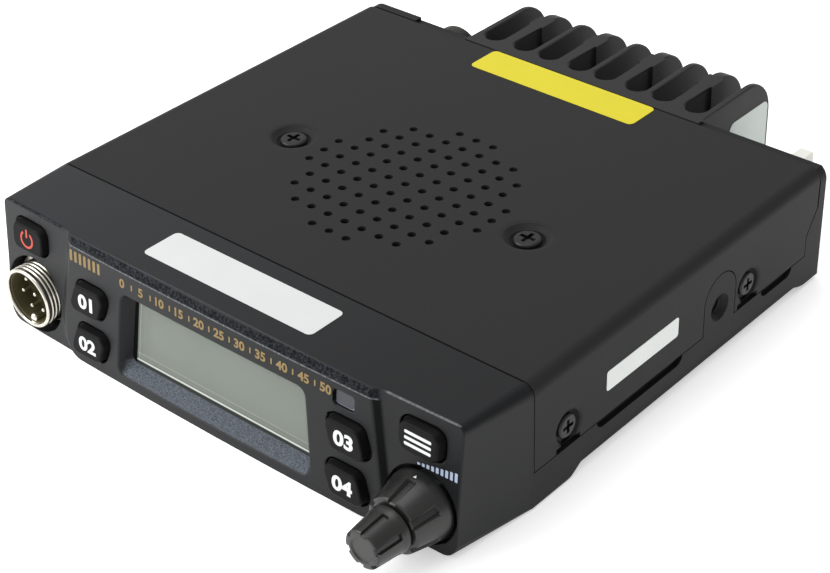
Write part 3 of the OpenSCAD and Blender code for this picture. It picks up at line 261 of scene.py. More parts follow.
def turned(section, steps=96, closed=True):
    """A shape turned about the Y axis from the corners of its section, (radius, depth) each."""
    bm = bmesh.new()
    corners = [bm.verts.new((r, y, 0)) for r, y in section]
    ends = corners[1:] + corners[:1] if closed else corners[1:]
    lines = [bm.edges.new(pair) for pair in zip(corners, ends)]
    bmesh.ops.spin(bm, geom=corners + lines, cent=(0, 0, 0), axis=(0, 1, 0), dvec=(0, 0, 0),
                   angle=2 * math.pi, steps=steps, use_merge=True)
    bmesh.ops.remove_doubles(bm, verts=bm.verts, dist=0.001)
    bmesh.ops.recalc_face_normals(bm, faces=bm.faces)
    return bm


hole_r = 2.1
hole_y = 61.1
hole_z = 14.3
tap_end_r = hole_r - 0.01
tap_root_r = hole_r - 0.03
tap_crest_r = hole_r - 0.26
tap_start = 1.3
tap_pitch = 0.8
tap_turns = 8
ridges = [(tap_end_r, tap_start)]
for turn in range(tap_turns):
    at = tap_start + tap_pitch * turn
    ridges += [(tap_root_r, at + 0.1), (tap_crest_r, at + 0.4), (tap_root_r, at + 0.7)]
ridges += [(tap_end_r, tap_start + tap_pitch * tap_turns)]
bare_metal = Finish("bare_metal")
bare_metal.set(
    Base_Color=bare_metal.mix(bare_metal.noise(0.6, 3), shade("#1a1a19"), shade("#30302e")),
    Metallic=0.5,
    Roughness=0.3 + bare_metal.noise(0.3) * 0.2,
)
for side, side_name in ((1, "right"), (-1, "left")):
    tapped = turned(ridges, 48)
    quarter = Matrix.Rotation(side * math.pi / 2, 3, "Z")
    bmesh.ops.rotate(tapped, cent=(0, 0, 0), matrix=quarter, verts=tapped.verts)
    bmesh.ops.translate(tapped, vec=(side * half_w, hole_y, hole_z), verts=tapped.verts)
    make("tapped_thread_" + side_name, tapped, "radio", bare_metal, (), 50)

# Heat sink
# A black painted aluminium casting with nine upright fins, square posts on every second fin and
# a thin lap over the rear wall. Four screws hold it from inside.
sink_paint = coated("sink_paint", "#29292a", "#505050", 0.4, 0.04, 0.45, 0.12)
sink = cad_copy("heat_sink")
post_front = rear_y + 14.6
post_back = post_front + 5.6
fin_rounding = 0.5


def on_fin(edge):
    on_post = all(post_front - 0.1 < v.co.y < post_back + 0.1 for v in edge.verts)
    return middle(edge).y > rear_y + 0.5 and middle(edge).z > 1 and not on_post


soften(sink, sharp(sink, 30, on_fin), fin_rounding, 4, 0.2)
lap_d = 2.4
lap_t = 0.6
lap_size = Matrix.Diagonal((box_mm("heat_sink")[1].x * 2, lap_d, lap_t, 1))
lap_place = Matrix.Translation((0, rear_y - lap_d / 2, case_h - lap_t / 2))
bmesh.ops.create_cube(sink, size=1, matrix=lap_place @ lap_size)
make("finned_casting", sink, "radio", sink_paint, ["heat_sink"])

# Rear sockets
# A dull plated threaded coaxial socket with a pale insulator and a gilt contact, and a white nylon
# power inlet with two blades. Both sit in the rear wall.
gilt = Finish("gilt_contact")
gilt.set(
    Base_Color=gilt.mix(gilt.noise(1.0), shade("#b9964a"), shade("#e0c888")),
    Metallic=1.0,
    Roughness=0.25 + gilt.noise(0.4) * 0.15,
)
nylon = Finish("white_nylon")
nylon.set(
    Base_Color=nylon.mix(nylon.noise(6, 3), shade("#dedcd2"), shade("#f1f0ea")),
    Roughness=0.42 + nylon.noise(0.6) * 0.15,
    Normal=nylon.bump(nylon.noise(0.3), 0.01),
    Subsurface_Weight=0.1,
    Subsurface_Radius=(0.001, 0.001, 0.001),
)
dull_plating = Finish("dull_plating")
dull_plating.set(
    Base_Color=dull_plating.mix(dull_plating.noise(1.5, 3), shade("#121211"), shade("#262521")),
    Metallic=0.5,
    Roughness=0.3 + dull_plating.noise(0.8) * 0.15,
)
dress(dull_plating, "antenna_socket")
dress(gilt, "antenna_contact", "power_contacts")
dress(nylon, "antenna_insulator", "power_inlet", "lcd_holder", "cable_connectors")

# Boards and what they carry
# Green glass-fibre boards with tinned cans, black packages and a flat cable. All of it is shut
# inside the case, behind the cover and the front panel.
board = Finish("circuit_board")
weave = board.noise(0.5, 2)
board.set(
    Base_Color=board.mix(weave, shade("#1d4a2a"), shade("#2f6a3d")),
    Roughness=0.35 + weave * 0.2,
)
tin = Finish("tinned_steel")
tin.set(
    Base_Color=tin.mix(tin.noise(3, 3), shade("#8f9194"), shade("#b4b6b8")),
    Metallic=1.0,
    Roughness=0.3 + tin.noise(0.8) * 0.2,
)
black_moulding = coated("black_moulding", "#1a1a1b", "#3a3a3a", 0.3, 0.01, 0.5)
sleeve = Finish("capacitor_sleeve")
sleeve.set(
    Base_Color=sleeve.mix(sleeve.noise(2), shade("#222c46"), shade("#303c5c")),
    Roughness=0.3 + sleeve.noise(0.7) * 0.15,
)
dress(board, "main_board", "control_board")
dress(tin, "shield_can", "channel_filter", "board_screws", "control_board_screws", "panel_screws",
      "heat_sink_screws", "pot_body", "pot_nut", "squelch_shaft", "volume_shaft", "speaker_bracket")
dress(black_moulding, "tact_switches", "rf_power_module", "status_led", "ribbon_cable")
dress(sleeve, "capacitors")

# Speaker
# A pressed steel basket with a ferrite magnet, a dark paper cone and a foam gasket that seals it
# to the cover under the grille.
paper = Finish("paper_cone")
pulp = paper.noise(0.8, 5, 0.7)
paper.set(
    Base_Color=paper.mix(pulp, shade("#141210"), shade("#2a2622")),
    Roughness=0.85 + pulp * 0.1,
    Normal=paper.bump(pulp, 0.08),
)
dress(paper, "speaker_cone", "speaker_gasket")
dress(black_moulding, "speaker_frame", "speaker_magnet")

# Cover
# One bent steel sheet with a black powder coat. Its grille is punched, and the dished seats of
# the screws are pressed into it. It stops just short of the front panel and the rear wall.
cover_paint = coated("cover_paint", "#242425", "#4a4a46", 0.45, 0.03, 0.46, 0.09)
seam_gap = 0.25
grille_r = 27
cover = cad_copy("top_cover")
cover_front = [v for v in cover.verts if v.co.y < seam_y + 0.01]
bmesh.ops.translate(cover, vec=(0, seam_gap, 0), verts=cover_front)
cover_end = max(v.co.y for v in cover.verts)
cover_rear = [v for v in cover.verts if v.co.y > cover_end - 0.01]
bmesh.ops.translate(cover, vec=(0, -seam_gap, 0), verts=cover_rear)
top_screws_y = sum(p.y for p in box_mm("top_screws")) / 2
screw_head_r = 2.8
top_screw_x = box_mm("top_screws")[1].x - screw_head_r
side_low, side_high = box_mm("side_screws")
side_screw_ys = [side_low.y + screw_head_r, side_high.y - screw_head_r]
side_screw_z = (side_low.z + side_high.z) / 2


def on_grille(edge):
    at = middle(edge)
    return at.z > case_h - 0.01 and math.hypot(at.x, at.y - top_screws_y) < grille_r


def on_dish(edge):
    """True on the round rims of the dished screw seats."""
    at = middle(edge)
    if at.z > case_h - 0.01:
        ends = [math.hypot(abs(v.co.x) - top_screw_x, v.co.y - top_screws_y) for v in edge.verts]
    elif abs(at.x) > half_w - 0.01:
        nearest = min(side_screw_ys, key=lambda y: abs(y - at.y))
        ends = [math.hypot(v.co.y - nearest, v.co.z - side_screw_z) for v in edge.verts]
    else:
        return False
    return 3 < ends[0] < 7 and abs(ends[0] - ends[1]) < 0.02


grille_rounding = 0.15
dish_rounding = 0.6
dish_r = 5.4
dish_seat_r = 3.4
dish_spread = 0.9
dish_lift = 0.8
seat_shade_r = 4.1
soften(cover, sharp(cover, 60, on_grille), grille_rounding, 2, 0.3)
# Each top dish opens a little wider and lies shallower than its solid, as the photograph shows.
for x in (-top_screw_x, top_screw_x):
    axis = Vector((x, top_screws_y, 0))
    circles = {}
    for v in cover.verts:
        off_axis = (v.co - axis).xy.length
        if off_axis < dish_r + 0.05:
            circles.setdefault(round(off_axis, 2), []).append(v)
    for circle_r, circle in circles.items():
        share = max(0, circle_r - dish_seat_r) / (dish_r - dish_seat_r)
        wider = 1 + dish_spread * share / circle_r
        bmesh.ops.scale(cover, vec=(wider, wider, 1), space=Matrix.Translation(-axis), verts=circle)
        bmesh.ops.translate(cover, vec=(0, 0, dish_lift * (1 - share)), verts=circle)
soften(cover, sharp(cover, 12, on_dish), dish_rounding, 4, 0)
# Painted shade: the seat close around the head of a top screw is painted near black, for the deep,
# shaded gap there.
wide, deep = cover_paint.along()[:2]
off_x = wide.math("ABSOLUTE", wide, 0) - top_screw_x
off_y = deep - top_screws_y
painted_seat_shade = (off_x * off_x + off_y * off_y).ramp((seat_shade_r + 0.1) ** 2, (seat_shade_r - 0.1) ** 2)
coat = Wire(cover_paint, cover_paint.shader.inputs["Base Color"].links[0].from_socket)
cover_paint.set(Base_Color=cover_paint.mix(painted_seat_shade, coat, shade("#030303")))
make("cover_sheet", cover, "radio", cover_paint, ["top_cover"])

# Screws
# Black zinc plated steel screws with pan heads and a crossed recess. Two hold the speaker strap
# and cover from above, and two on each side hold the cover to the chassis.
black_zinc = Finish("black_zinc")
dull = black_zinc.noise(0.7, 3)
black_zinc.set(
    Base_Color=black_zinc.mix(dull, shade("#0c0c0d"), shade("#1c1c1d")),
    Metallic=0.3,
    Roughness=0.3 + dull * 0.2,
)


def screw_rim(edge, axis, reach, centres):
    """True on the outer rim of a screw head's end face."""
    at = middle(edge)
    if abs(abs(at[axis]) - reach) > 0.02:
        return False
    across = [at[i] for i in range(3) if i != axis]
    return any(abs(math.dist(across, c) - screw_head_r) < 0.2 for c in centres)


top_heads = cad_copy("top_screws")
top_reach = box_mm("top_screws")[1].z
top_places = [(x, top_screws_y) for x in (-top_screw_x, top_screw_x)]
top_edges = sharp(top_heads, 40, lambda e: screw_rim(e, 2, top_reach, top_places))
soften(top_heads, top_edges, 0.7, 4)
head_foot_z = case_h - 2
head_widening = 1.16
head_rise = 0.1
raised_heads = [v for v in top_heads.verts if v.co.z > head_foot_z - 0.05]
for x, y in top_places:
    head = [v for v in raised_heads if math.dist(v.co.xy, (x, y)) < 4]
    from_axis = Matrix.Translation((-x, -y, 0))
    bmesh.ops.scale(top_heads, vec=(head_widening, head_widening, 1), space=from_axis, verts=head)
    head_top = [v for v in head if v.co.z > head_foot_z + 0.1]
    bmesh.ops.translate(top_heads, vec=(0, 0, head_rise), verts=head_top)
make("cover_top_screws", top_heads, "radio", black_zinc, ["top_screws"])
side_heads = cad_copy("side_screws")
side_places = [(y, side_screw_z) for y in side_screw_ys]
side_edges = sharp(side_heads, 40, lambda e: screw_rim(e, 0, side_high.x, side_places))
soften(side_heads, side_edges, 0.6, 4)
make("cover_side_screws", side_heads, "radio", black_zinc, ["side_screws"])

# Front panel
# One moulding in dark grey plastic with a fine spark-eroded grain: two wings, a proud centre
# block with sloping sides, and the holes for keys, display, lamp, socket and knobs.
face_lean = math.tan(math.radians(5.785))
bow_r = 1760
bow_y = -27.77
block_proud = 1.05
block_top_z = 28.6
ledge_z = 5.4
window_x = 0.8
panel_plastic = Finish("panel_plastic")
wide, deep, tall = panel_plastic.along()
behind = deep - bow_y - wide * wide / (2 * bow_r) - tall * face_lean
in_block = behind.between(-3, -0.25) * wide.between(-46, 47.5)
# Painted shade: the band above the block and the left wing's top rim are painted dark and kept from
# reflecting, over their grit.
band = tall.between(block_top_z + 0.35, case_h - 0.25, 0.15) * in_block
block_edge_highlight = tall.between(block_top_z - 0.02, block_top_z + 0.22, 0.08) * in_block
left_rim_shade = tall.ramp(case_h - 0.6, case_h - 0.5) * behind.between(-0.3, 0.5) * wide.ramp(-45.5, -46.5)
right_rim_highlight = tall.ramp(case_h - 0.32, case_h - 0.2) * behind.between(-0.2, 0.4) * wide.ramp(48, 49)
# Painted shade: the block's right sloping side is painted near black and kept from reflecting.
block_side_shade = behind.between(-0.85, -0.1) * wide.between(45.3, 51, 0.3)
block_side_shade = block_side_shade * tall.ramp(block_top_z + 0.3, block_top_z)
painted_band_shade = band + left_rim_shade
# Painted light: the upward ledge under the window is painted paler and sparkly, over its coarser
# grain.
ledge = wide.between(window_x - 28, window_x + 28, 0.5) * tall.between(1.5, ledge_z)
ledge = ledge * behind.between(0.25 - block_proud, 2.1)
cloud = panel_plastic.noise(25, 3)
grit = panel_plastic.noise(0.22, 2, 0.6)
coarse = panel_plastic.noise(0.34, 3, 0.7)
chalk = panel_plastic.noise(0.55, 4, 0.8).ramp(0.45, 0.62)
ledge_grains = panel_plastic.noise(0.36, 3, 0.75)
# Painted light: the plain skin is lighter on the left and darker on the right, as light falling from
# the left shades it.
painted_light_falloff = wide.ramp(-65, 50)
plain = panel_plastic.mix(
    cloud * 0.4 + grit * 0.6, panel_plastic.mix(painted_light_falloff, shade("#1d1e20"), shade("#0e0f11")),
    panel_plastic.mix(painted_light_falloff, shade("#28292b"), shade("#17181a")))
shaded_rough_band = panel_plastic.mix(chalk * 0.4, shade("#0c0e11"), shade("#565b61"))
lit_rough_ledge = panel_plastic.mix(ledge_grains.ramp(0.34, 0.68), shade("#262b32"), shade("#626973"))
skin = panel_plastic.mix(ledge, panel_plastic.mix(painted_band_shade * 0.9, plain, shaded_rough_band), lit_rough_ledge)
skin = panel_plastic.mix(block_side_shade, skin, shade("#08090a"))
# Painted highlights: pale lines along the block's top edge and the right wing's top rim.
lines = block_edge_highlight * (0.2 + chalk * 0.5) + right_rim_highlight * (0.2 + chalk * 0.25)
panel_plastic.set(
    Base_Color=panel_plastic.mix(lines, skin, shade("#9a9ea3")),
    Metallic=painted_band_shade * 0.9 + block_side_shade * 0.7,
    Roughness=0.42 + (cloud - 0.5) * 0.1 + (grit - 0.5) * 0.12 + band * 0.15 + ledge * 0.1,
    Specular_IOR_Level=0.2,
    Normal=panel_plastic.bump(grit + coarse * band * 3 + coarse * ledge * 2, 0.025),
)


def face_depth(at):
    """Depth behind the bowed, leaning face of the wings."""
    return at.y - (bow_y + at.x ** 2 / (2 * bow_r) + face_lean * at.z)


def on_face(edge):
    return face_depth(middle(edge)) < 0.3


panel = cad_copy("front_panel")
panel_back = [v for v in panel.verts if v.co.y > seam_y - 0.01]
bmesh.ops.translate(panel, vec=(0, -seam_gap, 0), verts=panel_back)
edge_rounding = 0.36
rounding = panel.edges.layers.float.new("bevel_weight_edge")
for edge in sharp(panel, 18, on_face):
    at = middle(edge)
    at_left_end = at.x < -65 and any(f.normal.x < -0.25 for f in edge.link_faces)
    at_foot = at.z < 2.5
    edge[rounding] = 0.0 if at_left_end or at_foot else 1.0
moulding = make("panel_moulding", panel, "radio", panel_plastic, ["front_panel"])
rounded = moulding.modifiers.new("rounded", "BEVEL")
rounded.limit_method = "WEIGHT"
rounded.width = edge_rounding / 1000
rounded.segments = 4
rounded.use_clamp_overlap = False
moulding.modifiers.move(1, 0)

# Display
# A clear moulded window set deep in the panel, its rim slanted, with a printed frame line and painted
# shade over the dark gaps at its foot and left. A grey-green liquid crystal cell lies behind it.
cell = Finish("display_cell")
haze = cell.noise(30, 2)
cell.set(
    Base_Color=cell.mix(haze, shade("#7c8479"), shade("#8a9287")),
    Roughness=0.3 + cell.noise(3) * 0.1,
)
window_foot = 5.2
window_half = 27.5
window_slant = 1.6 / 18
window = Finish("clear_window")
wide, deep, tall = window.along()
from_foot = tall - window_foot
from_left = wide - window_x + window_half - from_foot * window_slant
from_right = window_x + window_half - from_foot * window_slant - wide
inside = from_foot.ramp(2.5, 2.6) * from_left.ramp(3.0, 3.8) * from_right.ramp(1.6, 1.7)
frame_line = from_foot.between(2.45, 2.6, 0.04) + from_left.between(1.9, 2.05, 0.04)
gap = from_left.ramp(1.35, 1.25)
foot_gap_shade = from_foot.ramp(0.55, 0.45) + from_foot.between(1.05, 1.15, 0.04)
foot_strip = from_foot.between(0.55, 1.0, 0.05)
# Painted shade: the gaps at the left and foot of the window are painted near black and kept from
# reflecting.
dark = (gap + foot_gap_shade * 0.8).ramp(0, 1)
pane = window.mix(window.noise(20), shade("#7a8279"), shade("#828a80"))
strip = window.mix(window.noise(0.3), shade("#a9aea8"), shade("#d2d7d0"))
tint = window.mix(inside, shade("#656c62"), pane)
tint = window.mix(frame_line * 0.35, tint, shade("#b9beb6"))
tint = window.mix(foot_strip, tint, strip)
window.set(
    Base_Color=window.mix(dark, tint, shade("#060606")),
    Metallic=dark * 0.9,
    Roughness=0.12 + window.noise(8) * 0.06 + dark * 0.4,
    Alpha=(0.98 - inside * 0.26 + dark * 0.3).ramp(0, 1),
)


def upright(at):
    """Depth of a point once the front's lean is taken out."""
    return at.y - face_lean * at.z


lens = cad_copy("lcd_lens")
lens_front = min(upright(v.co) for v in lens.verts)
lens_rim = sharp(lens, 40, lambda e: upright(middle(e)) < lens_front + 0.05)
soften(lens, lens_rim, 0.7, 2)
make("window_moulding", lens, "radio", window, ["lcd_lens"])
dress(cell, "lcd_glass")

# Lamp window
# A small bluish light pipe between the status lamp and the face of the panel. Its rim is slanted.
lamp = Finish("lamp_window")
lamp_low = box_mm("led_light_pipe")[0]
# Painted highlight: the marked lower rim of the pipe is painted paler, as if lit.
pipe_rim_highlight = lamp.along()[2].ramp(lamp_low.z + 0.75, lamp_low.z + 0.6) * lamp.mark("edge")
resin = lamp.mix(lamp.noise(2), shade("#20242c"), shade("#2e323c"))
lamp.set(
    Base_Color=lamp.mix(pipe_rim_highlight, resin, shade("#7d8593")),
    Roughness=0.3 + lamp.noise(0.8) * 0.1,
)
pipe = cad_copy("led_light_pipe")
pipe_front = min(v.co.y for v in pipe.verts)
soften(pipe, sharp(pipe, 40, lambda e: middle(e).y < pipe_front + 0.4), 0.3, 2)
make("lamp_light_pipe", pipe, "radio", lamp, ["led_light_pipe"])

# Keys
# Moulded black silicone keys, each held behind the panel by a flange. Their rims are soft, and
# their legends are printed in thick white or red ink.
key_rubber = coated("key_rubber", "#0a0a0b", "#161618", 0.25, 0.015, 0.55, 0.12)


def ink(name, first, second):
    """Thick printed ink, a little uneven."""
    finish = Finish(name)
    blot = finish.noise(0.5, 3)
    finish.set(
        Base_Color=finish.mix(blot, shade(first), shade(second)),
        Roughness=0.4 + blot * 0.2,
        Normal=finish.bump(finish.noise(0.15), 0.006),
    )
    return finish


white_ink = ink("white_ink", "#d4d5d5", "#e4e5e5")
red_ink = ink("red_ink", "#b03420", "#c94a32")
pale_ink = ink("pale_ink", "#93a2ba", "#adb9cc")
gold_ink = ink("gold_ink", "#78602e", "#8d7645")
ink_t = 0.03


def plate(width, height, corner, thick):
    """A flat sheet with round corners, facing up, its middle at the origin."""
    bm = bmesh.new()
    bmesh.ops.create_grid(bm, x_segments=1, y_segments=1, size=0.5)
    bmesh.ops.scale(bm, vec=(width, height, 1), verts=bm.verts)
    bmesh.ops.bevel(bm, geom=bm.verts[:], offset=corner, offset_type="OFFSET", affect="VERTICES",
                    segments=6, profile=0.5, material=-1)
    sheet = bmesh.ops.extrude_face_region(bm, geom=bm.faces[:])
    raised = [v for v in sheet["geom"] if isinstance(v, bmesh.types.BMVert)]
    bmesh.ops.translate(bm, vec=(0, 0, thick), verts=raised)
    bmesh.ops.recalc_face_normals(bm, faces=bm.faces)
    return bm


def lettering(text, height, bold, stretch=1.0):
    """Printed figures, facing up, their middle at the origin."""
    curve = bpy.data.curves.new("figure", "FONT")
    curve.body = text
    curve.size = height / 0.7
    curve.offset = bold
    curve.extrude = ink_t / 2
    holder = bpy.data.objects.new("figure", curve)
    mesh = bpy.data.meshes.new_from_object(holder)
    bm = bmesh.new()
    bm.from_mesh(mesh)
    bpy.data.objects.remove(holder)
    bpy.data.curves.remove(curve)
    bpy.data.meshes.remove(mesh)
    bmesh.ops.remove_doubles(bm, verts=bm.verts, dist=0.0005)
    span = [(min(v.co[i] for v in bm.verts) + max(v.co[i] for v in bm.verts)) / 2 for i in (0, 1)]
    bmesh.ops.translate(bm, vec=(-span[0], -span[1], ink_t / 2), verts=bm.verts)
    bmesh.ops.scale(bm, vec=(stretch, 1, 1), verts=bm.verts)
    return bm


def join(shapes):
    """One bmesh of several."""
    whole = bmesh.new()
    for bm in shapes:
        mesh = bpy.data.meshes.new("shape")
        bm.to_mesh(mesh)
        bm.free()
        whole.from_mesh(mesh)
        bpy.data.meshes.remove(mesh)
    return whole


def moved(bm, *offset):
    bmesh.ops.translate(bm, vec=offset, verts=bm.verts)
    return bm


def on_front(bm, x, y, z):
    """Stands a flat shape up against the leaning front; y is the face's place at z = 0."""
    bmesh.ops.rotate(bm, cent=(0, 0, 0), matrix=Matrix.Rotation(math.pi / 2, 3, "X"), verts=bm.verts)
    bmesh.ops.translate(bm, vec=(x, 0, z), verts=bm.verts)
    lean = Matrix(((1, 0, 0, 0), (0, 1, face_lean, y), (0, 0, 1, 0), (0, 0, 0, 1)))
    bmesh.ops.transform(bm, matrix=lean, verts=bm.verts)
    return bm


def power_mark():
    """An open ring with an upright bar in its gap."""
    ring_r, stroke, gap = 1.9, 0.55, math.radians(70)
    ring = bmesh.new()
    start = Vector((ring_r * math.sin(gap / 2), ring_r * math.cos(gap / 2), 0))
    side = start.normalized() * (stroke / 2)
    lift = Vector((0, 0, ink_t))
    square = (start - side, start + side, start + side + lift, start - side + lift)
    corners = [ring.verts.new(c) for c in square]
    section = [ring.edges.new(pair) for pair in zip(corners, corners[1:] + corners[:1])]
    bmesh.ops.spin(ring, geom=corners + section, cent=(0, 0, 0), axis=(0, 0, -1), dvec=(0, 0, 0),
                   angle=2 * math.pi - gap, steps=40)
    bmesh.ops.holes_fill(ring, edges=[e for e in ring.edges if e.is_boundary])
    bmesh.ops.recalc_face_normals(ring, faces=ring.faces)
    return join([ring, moved(plate(stroke, 2.1, 0.1, ink_t), 0, 1.5, 0)])


def menu_mark():
    """Three short bars, one above the other."""
    return join([moved(plate(6.8, 0.7, 0.25, ink_t), 0, 1.35 * row, 0) for row in (-1, 0, 1)])


def key_number(text):
    return lettering(text, 3.2, 0.17, 1.2)


legends = {
    "key_power": ("power_key", power_mark(), red_ink),
    "key_function": ("function_key", menu_mark(), white_ink),
    "key_upper_left": ("upper_left_key", key_number("01"), white_ink),
    "key_lower_left": ("lower_left_key", key_number("02"), white_ink),
    "key_upper_right": ("upper_right_key", key_number("03"), white_ink),
    "key_lower_right": ("lower_right_key", key_number("04"), white_ink),
}
for node, (body, legend, legend_ink) in legends.items():
    cap = cad_copy(node)
    cap_front = min(upright(v.co) for v in cap.verts)
    top = [v.co.copy() for v in cap.verts if upright(v.co) < cap_front + 0.1]
    mid_x = (min(c.x for c in top) + max(c.x for c in top)) / 2
    mid_z = (min(c.z for c in top) + max(c.z for c in top)) / 2
    cap_rim = sharp(cap, 30, lambda e: upright(middle(e)) < cap_front + 0.1)
    soften(cap, cap_rim, 0.45, 4, 0)
    make(node + "_cap", cap, body, key_rubber, [node])
    make(body + "_legend", on_front(legend, mid_x, cap_front, mid_z), body, legend_ink)

# Printed marks on the panel
# A gold scale of fives over the display, a row of gold bars beside it and a rising row of pale bars
# over the knobs, all screen printed.
scale_y = bow_y - block_proud
scale_z = 26.1
scale_pitch = 6


def on_bow(bm, x, y, z):
    """Stands a small mark against the bowed front."""
    return on_front(bm, x, y + x ** 2 / (2 * bow_r), z)


scale = []
for i in range(11):
    scale.append(on_bow(lettering(str(5 * i), 2.0, 0.09, 1.1), scale_pitch * i - 26, scale_y, scale_z))
for i in range(10):
    scale.append(on_bow(plate(0.4, 1.4, 0.1, ink_t), scale_pitch * i - 22.9, scale_y, scale_z))
for i in range(7):
    scale.append(on_bow(plate(0.8, 2.7, 0.15, ink_t), 1.55 * i - 43, scale_y, 26.4))
make("gold_scale", join(scale), "radio", gold_ink)
bars = []
for i in range(9):
    bar = plate(0.7, 0.5 + 0.2 * i, 0.12, ink_t)
    bars.append(on_bow(bar, 57.4 + 1.15 * i, bow_y, 18.4 + 0.1 * i))
make("level_bars", join(bars), "radio", pale_ink)

# Microphone socket
# A nickel plated threaded shell with a dark liner and round-nosed pins, clamped by a ring nut.
# A half-round rib at the bottom of the bore keys the plug.
nickel = Finish("nickel")
smear = nickel.noise(2.5, 3)
nickel.set(
    Base_Color=nickel.mix(smear, shade("#b9b5a8"), shade("#dad7cc")),
    Metallic=1.0,
    Roughness=0.16 + smear * 0.14,
    Normal=nickel.bump(nickel.noise(0.25, 2), 0.004),
)
shell_low, shell_high = box_mm("mic_shell")
seat_low, seat_high = box_mm("mic_insulator")
pins_front = box_mm("mic_pins")[0].y
mic_x = (seat_low.x + seat_high.x) / 2
mic_z = (seat_low.z + seat_high.z) / 2
bore_r = 6.5
root_r = 7.02
flank_r = 7.4
crest_r = 7.5
thread_start = 1.2
thread_turns = 7
shell_d = shell_high.y - shell_low.y
shell = [(bore_r, 0.4), (6.6, 0.12), (6.82, 0), (7.08, 0), (7.32, 0.14), (flank_r, 0.5), (7.38, 0.95)]
for turn in range(thread_turns):
    at = thread_start + turn
    shell += [(root_r, at), (flank_r, at + 0.28), (crest_r, at + 0.5), (flank_r, at + 0.72)]
shell += [(flank_r, 8.4), (flank_r, shell_d), (bore_r, shell_d)]
thread_nickel = Finish("thread_nickel")
wide, deep, tall = thread_nickel.along()
from_axis_squared = (wide - mic_x) * (wide - mic_x) + (tall - mic_z) * (tall - mic_z)
# Painted shade: the roots of the thread are painted dark.
groove_shade = from_axis_squared.ramp(flank_r ** 2, (root_r + 0.1) ** 2)
groove_shade = groove_shade * deep.ramp(shell_low.y + 0.9, shell_low.y + 1.1)
streak = thread_nickel.noise(1.6, 4, 0.6)
plating = thread_nickel.mix(streak, shade("#b4b0a2"), shade("#e6e3d8"))
thread_nickel.set(
    Base_Color=thread_nickel.mix(groove_shade, plating, shade("#26241d")),
    Metallic=1.0,
    Roughness=0.14 + streak * 0.16,
)
thread = moved(turned(shell), mic_x, shell_low.y, mic_z)
make("mic_thread_shell", thread, "radio", thread_nickel, ["mic_shell"], 50)
insulator = coated("socket_insulator", "#453f29", "#5a5540", 0.3, 0.01, 0.5)
seat_y = seat_low.y
liner_r = bore_r - 0.02
liner = [(0, seat_y), (6.1, seat_y), (6.3, shell_low.y + 0.9), (liner_r, shell_low.y + 0.7),
         (liner_r, seat_high.y), (0, seat_high.y)]
liner_cup = moved(turned(liner, closed=False), mic_x, 0, mic_z)
make("mic_liner", liner_cup, "radio", insulator, ["mic_insulator"])
pins = cad_copy("mic_pins")
soften(pins, sharp(pins, 40, lambda e: middle(e).y < pins_front + 0.02), 0.4, 4, 0)
make("mic_pin_set", pins, "radio", nickel, ["mic_pins"], 60)
rib_r = 1.1
rib_drop = 5.85
rib_d = seat_y - shell_low.y - 0.9
rib = bmesh.new()
bmesh.ops.create_cone(rib, cap_ends=True, segments=32, radius1=rib_r, radius2=rib_r, depth=rib_d)
bmesh.ops.rotate(rib, cent=(0, 0, 0), matrix=Matrix.Rotation(math.pi / 2, 3, "X"), verts=rib.verts)
moved(rib, mic_x, seat_y - rib_d / 2, mic_z - rib_drop)
soften(rib, sharp(rib, 40, lambda e: middle(e).y < seat_y - rib_d + 0.1), 0.4, 4, 0)
make("mic_key_rib", rib, "radio", nickel, (), 50)
nut_low, nut_high = box_mm("mic_nut")
nut_r = (nut_high.x - nut_low.x) / 2
nut_bore_r = crest_r - 0.04
nut_bevel = 0.3
nut_front = nut_low.y - 1.0
nut = turned([(nut_bore_r, nut_front), (nut_r - nut_bevel, nut_front), (nut_r, nut_front + nut_bevel),
              (nut_r, nut_high.y), (nut_bore_r, nut_high.y)])
make("mic_ring_nut", moved(nut, mic_x, 0, mic_z), "radio", nickel, ["mic_nut"])

# Knobs
# Two concentric knobs of black moulded plastic with six slots each: a tapered ring with a white
# pointer at its foot, and a cap with a dished end. Both push on to the shafts.
knob_plastic = coated("knob_plastic", "#1b1b1a", "#55554f", 0.2, 0.02, 0.3, 0.48)


def slot_grip(bm, first, half_width, depth, start, least_r):
    """Presses six slots into a grip about the Y axis, from a depth to its front end."""
    for turn in range(6):
        angle = math.radians(first + 60 * turn)
        out = Vector((math.cos(angle), 0, math.sin(angle)))
        side = Vector((-math.sin(angle), 0, math.cos(angle)))
        slot = [v for v in bm.verts if v.co.y < start and v.co.dot(out) > least_r
                and abs(v.co.dot(side)) < half_width]
        bmesh.ops.translate(bm, vec=-depth * out, verts=slot)


ring_low, ring_high = box_mm("squelch_knob")
cap_low, cap_high = box_mm("volume_knob")
knob_x = (ring_low.x + ring_high.x) / 2
knob_z = (ring_low.z + ring_high.z) / 2
ring_d = ring_high.y - ring_low.y
cap_d = cap_high.y - cap_low.y
knob_steps = 192
knob_rounding = 0.45


def end_rim(bm, length, least_r):
    """Outer rim at the front end of a grip about the Y axis."""
    return sharp(bm, 40, lambda e: middle(e).y < 0.1 - length and middle(e).xz.length > least_r)


